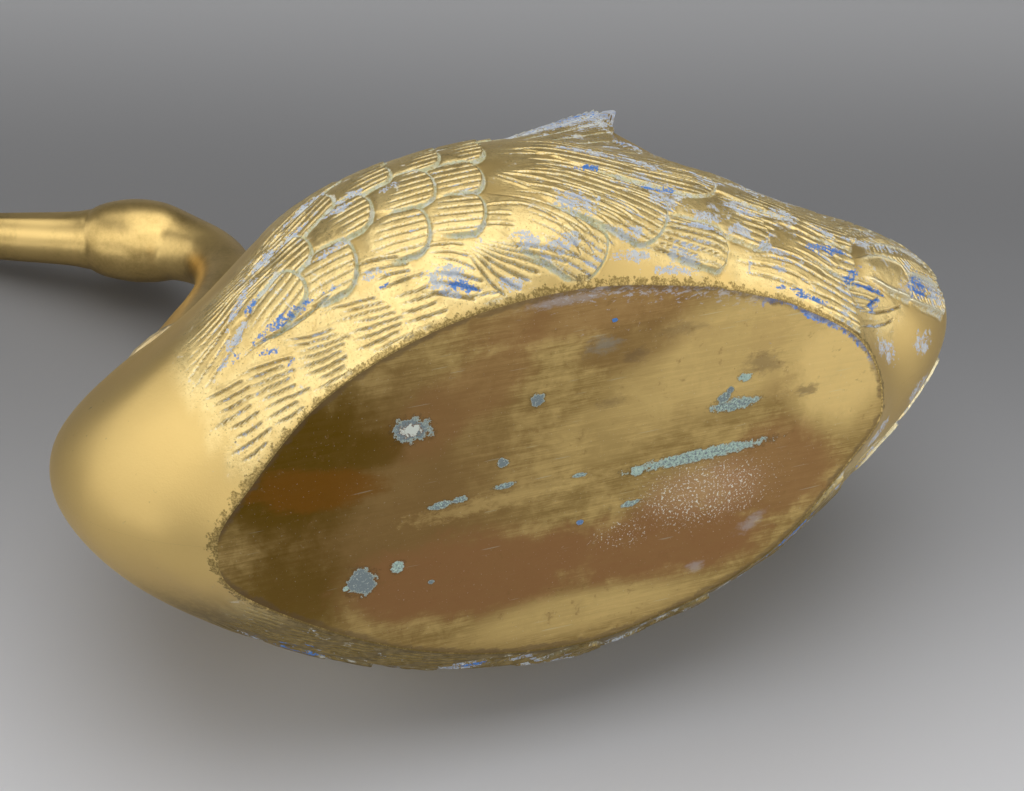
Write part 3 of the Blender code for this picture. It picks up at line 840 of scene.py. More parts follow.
@dataclass(frozen=True)
class BrazeMetal:
    """Dull braze, paler than the brass it joins."""

    pale: Colour = (0.62, 0.50, 0.28)
    grey: Colour = (0.34, 0.28, 0.18)

    def make(self) -> bpy.types.Material:
        """Builds the material.

        Returns:
            The material, lumpy and dull.
        """
        cook = Recipe("braze_metal")
        lumps, sand = cook.noise(5.0, 4.0, 0.6), cook.noise(0.9, 2.0, 0.6)
        colour = cook.mix(self.grey, self.pale, (lumps + sand * 0.2).eased(0.35, 0.75))
        cook.bump(lumps * 0.7 + sand * 0.3, 0.4, 0.7)
        return cook.finish(colour, 0.42 + sand * 0.2, 0.95)


class Finish(Enum):
    """The swan's finishes."""

    FEATHERED = FeatheredBrass()
    SATIN = SatinBrass()
    GROUND = GroundBrass()
    INSIDE = CastInside()
    BRAZE = BrazeMetal()


class Wardrobe:
    """Makes each finish's material once."""

    def __init__(self) -> None:
        """Starts empty."""
        self.made: dict[Finish, bpy.types.Material] = {}

    def get(self, finish: Finish) -> bpy.types.Material:
        """Gives a finish's material.

        Args:
            finish: which finish.

        Returns:
            Its material, made now if it wasn't yet.
        """
        if finish not in self.made:
            self.made[finish] = finish.value.make()
        return self.made[finish]


# Meshes from grids of points

@dataclass
class Patch:
    """A grid of points that becomes a mesh, with what its material reads.

    A closed grid joins its last column to its first, and a flipped one faces the other way.
    """

    points: np.ndarray
    closed: bool = False
    values: dict[str, np.ndarray] = field(default_factory=dict)
    normals: np.ndarray | None = None
    flipped: bool = False
    map_margin: float = 0.01

    def build(self, name: str, material: bpy.types.Material) -> bpy.types.Object:
        """Makes the mesh object.

        Args:
            name: the piece's name.
            material: what it wears.

        Returns:
            The object, in the scene.
        """
        rows, columns = self.points.shape[:2]
        index = np.arange(rows * columns).reshape(rows, columns)
        after = np.roll(index, -1, axis=1) if self.closed else index[:, 1:]
        here = index if self.closed else index[:, :-1]
        corners = [here[:-1], here[1:], after[1:], after[:-1]]
        if self.flipped:
            corners.reverse()
        faces = np.stack([corner.ravel() for corner in corners], axis=1)
        mesh = bpy.data.meshes.new(name)
        mesh.vertices.add(rows * columns)
        mesh.vertices.foreach_set("co", (self.points * MM).astype(np.float32).ravel())
        mesh.loops.add(faces.size)
        mesh.loops.foreach_set("vertex_index", faces.astype(np.int32).ravel())
        mesh.polygons.add(len(faces))
        mesh.polygons.foreach_set("loop_start", np.arange(0, faces.size, 4, dtype=np.int32))
        mesh.update(calc_edges=True)
        for label, values in self.values.items():
            layer = mesh.attributes.new(label, "FLOAT", "POINT")
            layer.data.foreach_set("value", values.astype(np.float32).ravel())
        self._map(mesh, faces, rows, columns)
        mesh.shade_smooth()
        if self.normals is not None:
            mesh.normals_split_custom_set_from_vertices(self.normals.reshape(-1, 3).tolist())
        mesh.materials.append(material)
        piece = bpy.data.objects.new(name, mesh)
        bpy.context.scene.collection.objects.link(piece)
        return piece

    def _map(self, mesh: bpy.types.Mesh, faces: np.ndarray, rows: int, columns: int) -> None:
        """Lays the grid out flat for the surface's map, in the proportions of its two lengths.

        Args:
            mesh: the mesh that gets the map.
            faces: each face's four points, by number.
            rows: how many rows the grid has.
            columns: how many columns it has.
        """
        high = np.linalg.norm(np.diff(self.points, axis=0), axis=2).sum(axis=0).mean()
        wide = np.linalg.norm(np.diff(self.points, axis=1), axis=2).sum(axis=1).mean()
        longest = max(high, wide)
        row, column = faces // columns, faces % columns
        if self.closed:
            column = np.stack([column[:, 0], column[:, 1], column[:, 0] + 1, column[:, 0] + 1], axis=1)
            if self.flipped:
                column = np.stack([column[:, 0], column[:, 0], column[:, 0] - 1, column[:, 0] - 1], axis=1)
        across = (column / (columns if self.closed else columns - 1)) * wide / longest
        up = row / (rows - 1) * high / longest
        spread = np.stack([across, up], axis=2) * (1.0 - 2 * self.map_margin) + self.map_margin
        layer = mesh.uv_layers.new(name=BAKE_MAP)
        layer.data.foreach_set("uv", spread.astype(np.float32).ravel())


def grid_normals(points: np.ndarray) -> np.ndarray:
    """Gives each grid point's normal from its neighbours."""
    return unit(np.cross(np.gradient(points, axis=0), np.gradient(points, axis=1)))


class Slot(Enum):
    """The finishes' names in the frame."""

    FEATHERED = "feathered_brass"
    GROUND = "ground_brass"
    POLISHED = "polished_brass"


def place(piece: bpy.types.Object, slot: Slot, *nodes: str) -> None:
    """Makes a piece ride on the body, and hides and logs the nodes that it stands for.

    Args:
        piece: the piece's object.
        slot: not used.
        nodes: the nodes that the piece replaces.
    """
    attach(piece, BODY)
    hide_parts(*nodes)
    log.info("%s: %d points for %s", piece.name, len(piece.data.vertices), ", ".join(nodes))


# The body's skin

@dataclass
class Skin:
    """The body's smooth outer surface, read through ribs from the breast to the tail."""

    left_base: list[Pair] = field(default_factory=lambda: [
        (0, -118), (20, -106), (48, -79), (66, -38), (70.5, 8),
        (63.5, 50), (60.5, 60), (57, 69), (49, 87), (29, 114), (0, 124),
    ])
    right_base: list[Pair] = field(default_factory=lambda: [
        (0, -118), (20, -112), (49, -72), (66, -32), (72.5, 12),
        (66, 48), (62, 60), (58, 70), (47, 88), (20, 112), (0, 124),
    ])
    ribs: list[list[Triple]] = field(default_factory=lambda: [
        [(0, -138, 13), (0, -155, 34), (0, -160, 60), (0, -149, 86), (0, -121, 107), (0, -70, 118)],
        [(26, -124, 13), (30, -141, 34), (24, -147, 60), (17, -138, 86), (16, -115, 107), (16, -68, 119.5)],
        [(55, -89, 13), (62, -103, 36), (51, -108, 63), (38, -102, 90), (31, -90, 108), (31, -58, 122)],
        [(78, -44, 13), (87, -50, 36), (86, -55, 66), (70, -58, 94), (56, -54, 116), (46, -40, 129)],
        [(86, 8, 13), (93, 8, 38), (93, 8, 68), (79, 12, 100), (66, 14, 125), (57, 24, 145)],
        [(77, 53, 13), (83, 57, 36), (79, 61, 64), (69, 64, 94), (59, 65, 130), (50, 93, 177)],
        [(73.5, 63.5, 13), (79, 68.5, 35.5), (74.5, 73.5, 62.5), (65, 75.5, 91), (57.5, 73, 123),
         (51, 85, 158)],
        [(69, 74, 13), (74, 80, 35), (69, 86, 61), (60, 87, 88), (55, 84, 117), (52, 86, 141)],
        [(58, 94, 13), (61, 106, 34), (52, 118, 56), (44, 124, 80), (39, 125, 97), (37, 117, 112)],
        [(31, 122, 12), (36, 138, 28), (34, 154, 47), (27, 163, 66), (22, 168, 82), (18, 168, 97)],
        [(0, 136, 11), (0, 157, 24), (0, 173, 40), (0, 184, 58), (0, 190, 76), (0, 193, 94)],
    ])
    middle_gap: float = 0.01
    nudge: float = 0.01

    @property
    def last_rib(self) -> int:
        """The number of the tail's middle rib."""
        return len(self.ribs) - 1

    @property
    def top(self) -> int:
        """The level of the rim."""
        return len(self.ribs[0])

    def net(self, side: int) -> np.ndarray:
        """Gives one side's ribs.

        Args:
            side: 1 for the left side, -1 for the right.

        Returns:
            An array of rib, level and coordinate, in millimetres.
        """
        edge = self.left_base if side > 0 else self.right_base
        net = np.array([[(x, y, 0.0), *levels] for (x, y), levels in zip(edge, self.ribs)], dtype=float)
        net[:, :, 0] *= side
        return net

    def points(self, side: int, along: np.ndarray, up: np.ndarray) -> np.ndarray:
        """Reads the skin.

        Args:
            side: 1 for the left side, -1 for the right.
            along: rib positions.
            up: level positions, one row for each rib position.

        Returns:
            Points in millimetres, in the frame, with the half's small step off the middle plane.
        """
        net = self.net(side)
        mirror = np.array([-1.0, 1.0, 1.0])
        steered = np.concatenate([net[1:2] * mirror, net, net[-2:-1] * mirror])
        columns = with_straight_ends(catmull_rom(steered, along), axis=1)
        start = np.clip(np.floor(up).astype(int), 0, self.top - 1)
        which = np.arange(len(along))[:, None]
        parts = [columns[which, start + step] for step in range(4)]
        points = spline(*parts, (up - start)[:, :, None])
        points[:, :, 1] += SHIFT
        points[:, :, 0] += side * self.middle_gap
        return points

    def normals(self, side: int, along: np.ndarray, up: np.ndarray) -> np.ndarray:
        """Gives the skin's outward normals.

        Args:
            side: 1 for the left side, -1 for the right.
            along: rib positions.
            up: level positions, one row for each rib position.

        Returns:
            A normal of length one for each place, level across the middle plane.
        """
        ahead = self.points(side, np.clip(along + self.nudge, 0, self.last_rib), up)
        behind = self.points(side, np.clip(along - self.nudge, 0, self.last_rib), up)
        above = self.points(side, along, np.clip(up + self.nudge, 0, self.top))
        below = self.points(side, along, np.clip(up - self.nudge, 0, self.top))
        normals = np.cross(ahead - behind, above - below) * side
        ends = (along <= 0) | (along >= self.last_rib)
        normals[ends, :, 0] = 0.0
        return unit(normals)


# The feathers; the flank is unrolled with s from amidships towards the tail and h up from the base's
# edge, both in millimetres

class Marks(Enum):
    """How a feather is chased."""

    COMBED = "long strokes from root to tip"
    BARBED = "short strokes slanting from a quill"
    PLAIN = "smooth inside a raised rim"


@dataclass(frozen=True)
class Feather:
    """One chased feather on the unrolled flank; its sizes are in millimetres, its angle in degrees."""

    tip: Pair
    angle: float
    length: float
    width: float
    marks: Marks = Marks.COMBED
    lift: float = 1.0
    bend: float = 0.0

    margin: float = 3.0
    root_fade: Pair = (0.05, 0.3)
    farthest: float = 1.25
    blunt_share: float = 0.55
    root_share: float = 0.55
    crown: float = 0.35
    unevenness: float = 0.15
    rim: float = 1.3
    rim_width: float = 0.8
    rim_height: float = 0.45
    stroke_pitch: float = 3.1
    stroke_width: float = 0.62
    stroke_depth: float = 0.52
    barb_slant: float = 0.8
    wobble: float = 0.35
    outline_off: float = 0.5
    outline_width: float = 1.2
    outline_depth: float = 0.42

    def local(self, s: np.ndarray, h: np.ndarray) -> tuple[np.ndarray, np.ndarray, np.ndarray]:
        """Places points on the feather.

        Args:
            s: how far they lie from amidships.
            h: how far they lie above the base's edge.

        Returns:
            Each point's share of the length, its way off the quill and its way in from the edge.
        """
        past_tip, off = turned(s - self.tip[0], h - self.tip[1], self.angle)
        along = 1.0 + past_tip / self.length
        across = off - self.bend * (1.0 - along) ** 2
        half = self.width / 2
        blunt = self.blunt_share * half
        round_from = 1.0 - blunt / self.length
        narrow = self.root_share + (1.0 - self.root_share) * smooth(0.0, 0.6, along)
        inside = half * narrow - np.abs(across)
        beyond = np.maximum(along - round_from, 0.0) * self.length / blunt
        rounded = (1.0 - np.hypot(beyond, across / half)) * half
        return along, across, np.where(along > round_from, np.minimum(rounded, inside), inside)

    def carve(self, relief: "Relief") -> None:
        """Lays this feather over what the relief holds.

        Args:
            relief: the flank's relief, changed in place.
        """
        reach = self.length + self.margin
        near = (np.abs(relief.s - self.tip[0]) < reach) & (np.abs(relief.h - self.tip[1]) < reach)
        noise = relief.noise[near]
        along, across, edge = self.local(relief.s[near], relief.h[near])
        held = smooth(*self.root_fade, along) * (along < self.farthest)
        outline = bell(edge, -self.outline_off, self.outline_width) * held * smooth(0.25, 0.7, along)
        relief.height[near] -= self.outline_depth * outline
        relief.edge[near] = np.maximum(relief.edge[near], outline)
        cover = smooth(-0.2, 0.5, edge) * held
        strokes = self._strokes(along, across, edge, noise)
        crown = np.maximum(1.0 - (2 * across / self.width) ** 2, 0.0)
        height = self.lift * (0.1 + 0.9 * np.clip(along, 0, 1)) + self.crown * crown + self.unevenness * noise
        rim = bell(edge, self.rim * 0.5, self.rim_width) * smooth(0.1, 0.4, along)
        rim *= float(self.marks is not Marks.COMBED)
        height += self.rim_height * rim
        height -= self.stroke_depth * strokes
        relief.height[near] = relief.height[near] * (1 - cover) + height * cover
        relief.groove[near] = relief.groove[near] * (1 - cover) + strokes * cover
        relief.rim[near] = relief.rim[near] * (1 - cover) + rim * cover
        relief.edge[near] *= 1 - smooth(0.2, 1.2, edge) * held
        spread = smooth(-2.5, 0.5, edge) * held
        relief.plumage[near] = np.maximum(relief.plumage[near], spread)

    def _strokes(self, along: np.ndarray, across: np.ndarray, edge: np.ndarray,
                 noise: np.ndarray) -> np.ndarray:
        """Gives the chased strokes.

        Args:
            along: each place's share of the feather's length.
            across: its way off the quill.
            edge: its way in from the edge.
            noise: the hand's unevenness there.

        Returns:
            How deep in a stroke each place is, from 0 to 1.
        """
        if self.marks is Marks.PLAIN:
            return np.zeros_like(along)
        if self.marks is Marks.BARBED:
            lane = (along * self.length - np.abs(across) * self.barb_slant) / self.stroke_pitch
            taper = smooth(0.5, 1.1, np.abs(across)) * smooth(self.rim * 0.6, self.rim * 1.2, edge)
        else:
            lane = (across + self.wobble * noise) / self.stroke_pitch + 0.37 + 0.01 * self.tip[1]
            uneven = np.sin(12.9 * np.floor(lane) + self.tip[0])
            root = 0.36 + 0.20 * uneven
            taper = smooth(root, root + 0.35, along) * smooth(0.1, 0.9, edge) * (0.8 + 0.2 * uneven)
        off = np.abs(lane - np.floor(lane) - 0.5) * self.stroke_pitch
        return smooth(self.stroke_width, 0.15, off) * taper


@dataclass(frozen=True)
class FeatherRow:
    """A row of like feathers whose tips stand along a line, lowest first."""

    low: Pair
    high: Pair
    count: int
    angles: Pair
    lengths: Pair
    widths: Pair
    marks: Marks = Marks.COMBED
    lift: float = 1.0
    bend: float = 0.0

    def carve(self, relief: "Relief") -> None:
        """Lays the row's feathers, the uppermost first so that lower ones lie over it.

        Args:
            relief: the flank's relief, changed in place.
        """
        places = zip(
            blend(self.low[0], self.high[0], self.count), blend(self.low[1], self.high[1], self.count),
            blend(*self.angles, self.count), blend(*self.lengths, self.count),
            blend(*self.widths, self.count))
        for s, h, angle, length, width in reversed(list(places)):
            Feather((s, h), angle, length, width, self.marks, self.lift, self.bend).carve(relief)


@dataclass(frozen=True)
class Gouges:
    """A set of like gouged lines, each faint at its start and deep at its end."""

    starts: tuple[Pair, Pair]
    ends: tuple[Pair, Pair]
    count: int
    bend: float = 0.0
    depth: float = 0.65
    width: float = 0.9
    scatter: float = 0.12
    fill: float = 0.0

    reach: float = 8.0
    burr_height: float = 0.2
    burr_width: float = 0.45

    @property
    def seed(self) -> int:
        """A number for the random draws that differs from set to set."""
        return round(1000 + self.starts[0][0] * 7 + self.starts[0][1] * 13 + self.count)

    def carve(self, relief: "Relief") -> None:
        """Cuts the lines.

        Args:
            relief: the flank's relief, changed in place.
        """
        rng = np.random.default_rng(self.seed)
        for share in blend(0.0, 1.0, self.count):
            rows = (self.starts, self.ends)
            start, end = (np.array(low) * (1 - share) + np.array(high) * share for low, high in rows)
            step = end - start
            start = start + step * rng.uniform(-self.scatter, self.scatter)
            end = end + step * rng.uniform(-self.scatter, self.scatter)
            self._cut(relief, start, end, self.depth * rng.uniform(0.7, 1.1))

    def _cut(self, relief: "Relief", start: np.ndarray, end: np.ndarray, depth: float) -> None:
        """Cuts one line.

        Args:
            relief: the flank's relief, changed in place.
            start: where the line starts.
            end: where it ends.
            depth: how deep it is, in millimetres.
        """
        margin = self.reach + abs(self.bend)
        low, high = np.minimum(start, end) - margin, np.maximum(start, end) + margin
        near = (relief.s > low[0]) & (relief.s < high[0]) & (relief.h > low[1]) & (relief.h < high[1])
        if not near.any():
            return
        length = float(np.hypot(*(end - start)))
        way = (end - start) / length
        ds, dh = relief.s[near] - start[0], relief.h[near] - start[1]
        along = (ds * way[0] + dh * way[1]) / length
        across = -ds * way[1] + dh * way[0] - self.bend * 4 * along * (1 - along)
        inside = (along > 0) & (along < 1)
        body = smooth(0.0, 0.45, along) * smooth(1.0, 0.93, along) * inside
        half = self.width * (0.24 + 0.30 * body)
        cut = smooth(half, 0.05, np.abs(across + 0.25 * relief.noise[near])) * body
        burr = bell(across, self.width * 0.95, self.burr_width) * body
        relief.height[near] += self.burr_height * burr - depth * cut
        relief.groove[near] = np.maximum(relief.groove[near], cut)
        relief.edge[near] = np.maximum(relief.edge[near], cut * self.fill)
        spread = smooth(self.reach, 1.0, np.abs(across)) * smooth(-0.12, 0.15, along)
        spread *= smooth(1.12, 0.9, along)
        relief.plumage[near] = np.maximum(relief.plumage[near], spread)


TAIL = [
    FeatherRow((104, 56), (130, 116), 5, (20, 50), (46, 42), (17, 17)),
    FeatherRow((158, 70), (150, 118), 3, (38, 66), (58, 62), (18, 19), Marks.BARBED),
    Feather((153, 78), 39, 66, 15, Marks.BARBED, 1.2),
    Feather((150, 97), 46, 80, 14, Marks.BARBED, 1.0),
    Feather((131, 47), 27, 38, 13, Marks.PLAIN, 1.3),
    Gouges(((62, 7), (72, 20)), ((106, 18), (118, 31)), 3, -3.0, 0.8, 1.1, 0.0, 1.0),
    Gouges(((92, 5), (96, 12)), ((128, 30), (132, 38)), 2, -2.0, 0.6),
    Gouges(((100, 15), (104, 15)), ((112, 27), (114, 27)), 1, 0.0, 0.8, 1.0, 0.0, 1.0),
    Gouges(((120, 40), (124, 52)), ((158, 66), (160, 82)), 4, -3.0, 0.5),
]
REAR = [
    FeatherRow((94, 12), (97, 30), 2, (4, 12), (46, 46), (17, 17)),
    FeatherRow((98, 47), (102, 118), 5, (14, 44), (50, 46), (18, 18)),
    FeatherRow((70, 44), (92, 118), 5, (-14, 36), (52, 50), (20, 19)),
    Feather((52, 23), -12, 46, 18), Feather((31, 11), -16, 40, 16),
    Gouges(((30, 6), (34, 15)), ((64, 5), (84, 18)), 4, 0.6),
    Gouges(((36, 24), (30, 38)), ((58, 23), (60, 37)), 5, 0.8),
    Gouges(((60, 20), (58, 38)), ((92, 20), (90, 38)), 6, 0.8),
]
MIDDLE = [
    FeatherRow((60, 66), (66, 118), 3, (-8, 32), (70, 62), (24, 22), bend=4.0),
    Feather((38, 46), -22, 84, 32, bend=6.0), Feather((10, 20), -32, 68, 26, bend=5.0),
    Feather((-16, 6), -38, 52, 20, bend=3.0),
    Gouges(((-38, 52), (-40, 80)), ((-4, 36), (20, 62)), 8, 3.0, 0.5, 0.8, 0.15),
    Gouges(((-14, 40), (4, 62)), ((14, 26), (42, 50)), 9, 1.5, 0.45, 0.75, 0.15),
    Gouges(((-46, 36), (-38, 46)), ((-26, 20), (-12, 32)), 5, 1.5, 0.5, 0.8),
    Gouges(((-30, 22), (-14, 34)), ((-22, 7), (3, 21)), 8, 1.0, 0.5, 0.8),
    Gouges(((-62, 22), (-58, 24)), ((-49, 1), (-24, 9)), 7, -1.0, 0.75, 1.2, 0.06, 0.6),
    Gouges(((-43, 52), (-40, 52)), ((-34, 40), (-20, 44)), 3, 0.0, 0.7, 1.1, 0.05, 0.5),
    Gouges(((-6, 12), (4, 22)), ((20, 6), (34, 16)), 6, 1.0, 0.5, 0.8),
    Gouges(((-58, 30), (-52, 36)), ((-44, 24), (-40, 32)), 3, 0.5),
]
PRIMARIES = [
    FeatherRow((52, 126), (26, 190), 6, (20, 40), (96, 116), (15, 15), lift=1.3, bend=-5.0),
]
COVERTS = [
    FeatherRow((-51, 33), (-42, 71), 3, (-14, 4), (26, 26), (18, 19), lift=1.1),
    FeatherRow((-40, 89), (-12, 142), 4, (8, 26), (34, 44), (18, 18), lift=1.1),
    FeatherRow((-70, 33), (-56, 73), 3, (-10, 2), (27, 27), (19, 20), lift=1.1),
    FeatherRow((-54, 92), (-30, 152), 4, (6, 24), (32, 40), (19, 19), lift=1.1),
    FeatherRow((-96, 33), (-75, 72), 3, (-8, 6), (28, 30), (19, 20), lift=1.1),
    FeatherRow((-73, 90), (-56, 150), 4, (10, 28), (32, 38), (19, 19), lift=1.1),
    FeatherRow((-110, 52), (-97, 72), 2, (14, 24), (40, 44), (18, 18), lift=0.9),
    FeatherRow((-92, 90), (-84, 150), 4, (28, 40), (44, 40), (17, 18), lift=0.9),
    Feather((-116, 39), 24, 30, 14, lift=1.0),
]
FOREPART = [
    Gouges(((-170, 40), (-152, 64)), ((-128, 45), (-118, 74)), 10, -2.5, 0.5, 0.8),
    Gouges(((-146, 42), (-136, 70)), ((-114, 50), (-101, 79)), 9, -1.0, 0.5, 0.8),
    Gouges(((-126, 56), (-118, 72)), ((-108, 62), (-100, 78)), 5, -0.5, 0.45, 0.8),
    Gouges(((-168, 37), (-164, 30)), ((-142, 41), (-140, 34)), 3, -1.0, 0.5, 0.8),
    Gouges(((-147, 29), (-146, 29)), ((-106, 26), (-106, 27)), 1, -1.5, 0.9, 1.2, 0.0, 1.0),
    Gouges(((-163, 30), (-154, 6)), ((-146, 23), (-138, 2)), 8, -0.6, 0.6, 0.8, 0.2),
    Gouges(((-148, 26), (-139, 5)), ((-128, 18), (-121, 2)), 8, -0.6, 0.6, 0.8, 0.2),
    Gouges(((-130, 25), (-122, 5)), ((-109, 16), (-102, 2)), 8, -0.6, 0.6, 0.8, 0.2),
    Gouges(((-112, 24), (-102, 4)), ((-89, 16), (-83, 2)), 8, -0.6, 0.65, 0.85, 0.2),
    Gouges(((-101, 32), (-93, 19)), ((-82, 26), (-76, 17)), 4, 0.6, 0.7, 1.0, 0.12, 0.5),
    Gouges(((-92, 16), (-84, 3)), ((-72, 12), (-66, 1)), 5, -0.5, 0.6, 0.85, 0.2),
    Gouges(((-77, 17), (-80, 12)), ((-56, 8), (-58, 3)), 3, 0.5, 0.7, 1.1, 0.05, 0.5),
    Gouges(((-78, 27), (-72, 21)), ((-60, 22), (-58, 12)), 3, 0.5, 0.6, 0.9),
    Gouges(((-66, 6), (-60, 2)), ((-50, 3), (-44, 0)), 2, 0.0, 0.5, 0.8),
]


class Stain(Enum):
    """What has dried on the metal."""

    HAZE = "thin pale blue film"
    VIVID = "bright blue crust"


@dataclass(frozen=True)
class Daub:
    """One ragged patch of residue on the unrolled flank."""

    s: float
    h: float
    length: float
    width: float
    angle: float = 0.0
    stain: Stain = Stain.HAZE

    def cover(self, relief: "Relief") -> np.ndarray:
        """Gives the patch's cover.

        Args:
            relief: the flank's relief, with its places.

        Returns:
            How far each place lies inside the patch, from 0 to 1.
        """
        along, across = turned(relief.s - self.s, relief.h - self.h, self.angle)
        away = np.hypot(along / (self.length / 2), across / (self.width / 2))
        return smooth(1.25, 0.55, away + 0.5 * relief.ragged)


DAUBS = [
    Daub(-126, 29, 40, 4, -3, Stain.VIVID), Daub(-133, 24, 9, 3, -30, Stain.VIVID),
    Daub(-134, 40, 9, 4, 25, Stain.VIVID), Daub(-142, 35, 22, 5, 22), Daub(-136, 46, 22, 4, 40),
    Daub(-126, 58, 16, 8, 20), Daub(-106, 74, 26, 5, 18), Daub(-114, 60, 18, 4, 15),
    Daub(-91, 63, 12, 5), Daub(-97, 58, 13, 6), Daub(-78, 58, 10, 5, 20), Daub(-103, 41, 16, 4, -5),
    Daub(-92, 25, 14, 4, -20), Daub(-126, 16, 5, 2, 0, Stain.VIVID), Daub(-89, 20, 5, 2, 0, Stain.VIVID),
    Daub(-68, 13, 24, 9, -28), Daub(-63, 9, 12, 4, -25, Stain.VIVID), Daub(-48, 5, 12, 5, -20),
    Daub(-20, 30, 18, 13, -40), Daub(-40, 18, 14, 8, -30), Daub(-28, 14, 10, 7), Daub(-5, 15, 12, 7),
    Daub(14, 32, 16, 12, 10), Daub(-10, 50, 11, 4, 0, Stain.VIVID), Daub(13, 38, 20, 3, -8, Stain.VIVID),
    Daub(0, 63, 34, 8, -12), Daub(15, 56, 20, 7, -40), Daub(28, 25, 18, 6), Daub(22, 20, 14, 4),
    Daub(-6, 8, 16, 5), Daub(10, 4, 22, 4), Daub(55, 54, 16, 10, -50), Daub(44, 33, 20, 7),
    Daub(52, 17, 16, 6),
    Daub(62, 38, 18, 8, 10), Daub(60, 64, 22, 8, -40), Daub(62, 4, 30, 3, 2, Stain.VIVID),
    Daub(82, 29, 26, 5, 18, Stain.VIVID), Daub(95, 25, 26, 4, 48, Stain.VIVID),
    Daub(106, 26, 34, 2.5, 22, Stain.VIVID), Daub(108, 21, 15, 3, 46, Stain.VIVID),
    Daub(136, 50, 26, 11, 40, Stain.VIVID), Daub(120, 14, 26, 7, 30), Daub(146, 36, 22, 8, 45),
    Daub(112, 52, 44, 6, 30), Daub(150, 62, 30, 16, 50), Daub(84, 40, 16, 6, 10), Daub(76, 78, 20, 12, 40),
    Daub(140, 80, 40, 14, 50), Daub(24, 120, 50, 12, 35), Daub(-8, 168, 44, 14, 32),
    Daub(12, 184, 44, 9, 30, Stain.VIVID), Daub(-10, 176, 26, 7, 30, Stain.VIVID), Daub(30, 170, 30, 16, 40),
    Daub(90, 100, 40, 12, 40), Daub(-60, 110, 40, 12, 20), Daub(-30, 120, 30, 16, 20),
]


@dataclass
class Relief:
    """The chased relief over one unrolled flank, and what lies in it.

    The places and heights are in millimetres. The two noises lie about 0, and the rest starts from 0.
    """

    s: np.ndarray
    h: np.ndarray
    rim_left: np.ndarray
    height: np.ndarray = field(init=False)
    groove: np.ndarray = field(init=False)
    edge: np.ndarray = field(init=False)
    rim: np.ndarray = field(init=False)
    plumage: np.ndarray = field(init=False)
    haze: np.ndarray = field(init=False)
    vivid: np.ndarray = field(init=False)
    noise: np.ndarray = field(init=False)
    ragged: np.ndarray = field(init=False)

    base_fade: Pair = (0.4, 2.4)
    notch_pitch: float = 4.4
    notch_span: Pair = (-22.0, 27.0)
    notch_reach: float = 8.0
    notch_rise: float = 2.4
    notch_depth: float = 0.7
    rim_fade: Pair = (0.0, 3.0)
    sway: float = 0.9
    dot_depth: float = 0.3
    blade_depth: Pair = (32.0, 18.0)
    blade_front: Pair = (-34.0, -18.0)
    blade_rear: Pair = (66.0, 44.0)

    def __post_init__(self) -> None:
        """Starts from smooth metal and chases the feathers, from the tail forwards."""
        zeros = np.zeros_like(self.s)
        self.height, self.groove, self.edge, self.rim, self.plumage = (zeros.copy() for _ in range(5))
        self.noise = 0.65 * Grain(3, 2.4).at(self.s, self.h) + 0.35 * Grain(4, 6.0).at(self.s, self.h)
        self.ragged = 0.6 * Grain(7, 3.0).at(self.s, self.h) + 0.5 * Grain(8, 1.3).at(self.s, self.h * 1.6)
        true_place = self.s, self.h
        self.s = self.s + self.sway * Grain(5, 19.0).at(*true_place)
        self.h = self.h + self.sway * Grain(6, 17.0).at(*true_place)
        for work in TAIL + REAR + MIDDLE + PRIMARIES + COVERTS + FOREPART:
            work.carve(self)
        self.s, self.h = true_place
        self._mat_outlines()
        self.height *= smooth(*self.rim_fade, self.rim_left)
        self._notch()
        self._stain()
        ground = smooth(*self.base_fade, self.h)
        for values in (self.height, self.groove, self.edge):
            values *= ground

    def _mat_outlines(self) -> None:
        """Punches fine dots down the feathers' outlines."""
        dots = smooth(0.1, 0.7, Grain(9, 1.1, 128).at(self.s, self.h))
        self.height -= self.dot_depth * dots * self.edge
        self.groove = np.maximum(self.groove, 0.6 * dots * self.edge)

    def _stain(self) -> None:
        """Lays the residues' ragged patches, and a film over the blade of the wing's tip."""
        kinds = {Stain.HAZE: np.zeros_like(self.s), Stain.VIVID: np.zeros_like(self.s)}
        for daub in DAUBS:
            kinds[daub.stain] = np.maximum(kinds[daub.stain], daub.cover(self))
        self.haze, self.vivid = kinds[Stain.HAZE], kinds[Stain.VIVID]
        blade = smooth(*self.blade_front, self.s) * smooth(*self.blade_rear, self.s)
        blade = smooth(*self.blade_depth, self.rim_left) * blade
        self.haze = np.maximum(self.haze, blade * (1.25 + 0.5 * self.ragged))
        between = smooth(-0.1, 0.6, self.ragged) * (1 - self._barbs())
        self.vivid = np.maximum(self.vivid, 1.1 * blade * between)

    def _barbs(self) -> np.ndarray:
        """Gives how far each place lies in one of the slanting barbs of the wing's upper edge."""
        lane = (self.s + 0.8 * self.rim_left) / self.notch_pitch
        return smooth(0.3, 0.95, 0.5 + 0.5 * np.cos(2 * math.pi * lane)) * self._notched()

    def _notched(self) -> np.ndarray:
        """Gives how far each place lies along the notched stretch of the edge."""
        low, high = self.notch_span
        return smooth(low - 6, low, self.s) * smooth(high + 4, high, self.s)

    def _notch(self) -> None:
        """Cuts the slanting barbs along the wing's upper edge."""
        near = smooth(self.notch_reach, 2.0, self.rim_left)
        self.height -= self.notch_depth * near * self._notched() * (1 - self._barbs())
        self.rim = np.maximum(self.rim, near * self._barbs())

    def rim_rise(self) -> np.ndarray:
        """Gives how far each place near the wing's edge rises with a barb, in millimetres."""
        return self.notch_rise * self._barbs() * smooth(self.notch_reach, 0.0, self.rim_left)


# The pieces

